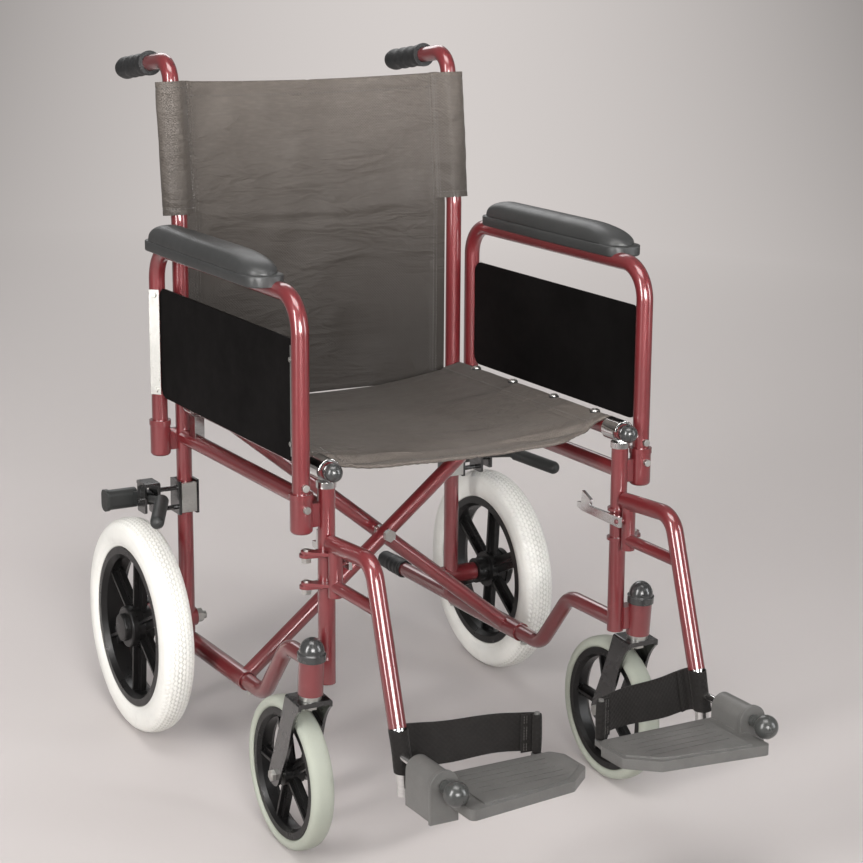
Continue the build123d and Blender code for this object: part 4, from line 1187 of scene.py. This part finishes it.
# ---------------------------------------------------------------- floor and world
def backdrop():
    """Lit floor near the chair, blending into an even glow further out."""
    m = Mat("backdrop")
    distance = m.add("ShaderNodeVectorMath", operation="LENGTH")
    m.link(m.co, distance.inputs[0])
    reach = m.span(distance.outputs["Value"], band=(1.0, 3.4), to=(0.0, 1.0))
    patches = m.span(m.noise(scale=1.2, detail=2), band=(0.3, 0.7), to=(0, 0.2))
    col = m.mix(patches, (0.57, 0.536, 0.528), (0.53, 0.499, 0.490))
    m.put(Base_Color=col, Roughness=0.9, Specular_IOR_Level=0.1)
    # the glow fades towards the upper corners of the view
    view = m.add("ShaderNodeSeparateXYZ")
    m.link(m.add("ShaderNodeTexCoord").outputs["Window"], view.inputs[0])
    off_centre = m.math("SUBTRACT", m.math("MULTIPLY", view.outputs["X"], 2.0), 0.96)
    sideways = m.math("POWER", m.math("ABSOLUTE", off_centre), 1.6)
    painted_shade = m.math("MULTIPLY", sideways,
                  m.span(view.outputs["Y"], band=(0.5, 1.0), to=(0.14, 0.31)))
    glow = m.add("ShaderNodeEmission")
    glow.inputs["Color"].default_value = (1.0, 0.935, 0.905, 1)
    # the camera sees the shaded glow; every other ray gets a weaker even one
    seen = m.add("ShaderNodeLightPath").outputs["Is Camera Ray"]
    shade = m.math("MAXIMUM", m.math("SUBTRACT", 0.66, painted_shade), 0.25)
    even = m.math("MULTIPLY", m.math("SUBTRACT", 1.0, seen), 0.17)
    strength = m.math("ADD", m.math("MULTIPLY", shade, seen), even)
    m.link(strength, glow.inputs["Strength"])
    blend = m.add("ShaderNodeMixShader")
    m.link(reach, blend.inputs[0])
    m.link(m.shader.outputs["BSDF"], blend.inputs[1])
    m.link(glow.outputs["Emission"], blend.inputs[2])
    m.link(blend.outputs["Shader"], m.out.inputs["Surface"])
    return m.done()


def stage_floor():
    material = backdrop()
    bm = bmesh.new()
    bmesh.ops.create_circle(bm, cap_ends=True, cap_tris=True, segments=96, radius=40)
    me = bpy.data.meshes.new("stage_floor")
    bm.to_mesh(me)
    bm.free()
    me.materials.append(material)
    floor = bpy.data.objects.new("stage_floor", me)
    scene.collection.objects.link(floor)


def studio_world():
    """Soft fill light; the camera sees a pale backdrop above the horizon."""
    world = bpy.data.worlds.new("studio")
    scene.world = world
    world.use_nodes = True
    nodes, links = world.node_tree.nodes, world.node_tree.links
    fill = nodes["Background"]
    fill.inputs["Color"].default_value = (0.90, 0.87, 0.86, 1)
    fill.inputs["Strength"].default_value = 0.24
    pale = nodes.new("ShaderNodeBackground")
    pale.inputs["Color"].default_value = (0.66, 0.617, 0.597, 1)
    ray = nodes.new("ShaderNodeLightPath")
    pick = nodes.new("ShaderNodeMixShader")
    links.new(ray.outputs["Is Camera Ray"], pick.inputs[0])
    links.new(fill.outputs[0], pick.inputs[1])
    links.new(pale.outputs[0], pick.inputs[2])
    links.new(pick.outputs[0], nodes["World Output"].inputs["Surface"])


stage_floor()
studio_world()


# ---------------------------------------------------------------- lights
def light(name, at, to, size, power, color=(1, 1, 1), spread=180):
    """Rectangular area light at one point, aimed at another; spread in degrees."""
    lamp = bpy.data.lights.new(name, "AREA")
    lamp.shape = "RECTANGLE"
    lamp.size, lamp.size_y = size
    lamp.energy = power
    lamp.spread = math.radians(spread)
    lamp.color = color
    ob = bpy.data.objects.new(name, lamp)
    scene.collection.objects.link(ob)
    ob.location = at
    ob.rotation_mode = "QUATERNION"
    ob.rotation_quaternion = (Vector(to) - Vector(at)).to_track_quat("-Z", "Y")


light("key_top", at=(-0.5, -0.6, 3.2), to=(0, 0, 0.4), size=(2.0, 1.3), power=46,
      color=(1.0, 0.98, 0.96))
light("front_box", at=(-0.9, -2.7, 1.5), to=(0.05, 0.3, 1.02), size=(1.3, 1.2), power=15,
      color=(1.0, 0.985, 0.97), spread=50)
light("strip_left", at=(-2.9, -0.9, 1.5), to=(0, 0, 0.55), size=(0.5, 2.4), power=78,
      color=(1.0, 0.985, 0.97))
light("strip_right", at=(2.2, -2.4, 1.5), to=(0, 0, 0.6), size=(0.55, 2.2), power=40,
      color=(0.98, 0.99, 1.0))
light("back_lift", at=(0.8, 3.0, 2.2), to=(0, 0, 0.6), size=(2.2, 1.4), power=26)


# ---------------------------------------------------------------- camera
def camera(location, azimuth, elevation, roll, lens):
    """Angles in degrees: azimuth from -Y, elevation above the floor, roll about the view."""
    azimuth, elevation, roll = (math.radians(v) for v in (azimuth, elevation, roll))
    lens_data = bpy.data.cameras.new("camera")
    lens_data.sensor_width = 36.0
    lens_data.lens = lens
    lens_data.clip_start, lens_data.clip_end = 0.05, 200
    ob = bpy.data.objects.new("camera", lens_data)
    scene.collection.objects.link(ob)
    backward = Vector((math.sin(azimuth) * math.cos(elevation),
                       -math.cos(azimuth) * math.cos(elevation), math.sin(elevation)))
    right = (-backward).cross(Vector((0, 0, 1))).normalized()
    up = right.cross(-backward)
    right, up = (right * math.cos(roll) + up * math.sin(roll),
                 -right * math.sin(roll) + up * math.cos(roll))
    ob.rotation_mode = "QUATERNION"
    ob.rotation_quaternion = Matrix((right, up, backward)).transposed().to_quaternion()
    ob.location = location
    scene.camera = ob


camera(location=(-1.37182, -2.39438, 1.36748), azimuth=-30.1, elevation=17.7, roll=2.88,
       lens=91.19)
scene.view_settings.view_transform = "Standard"
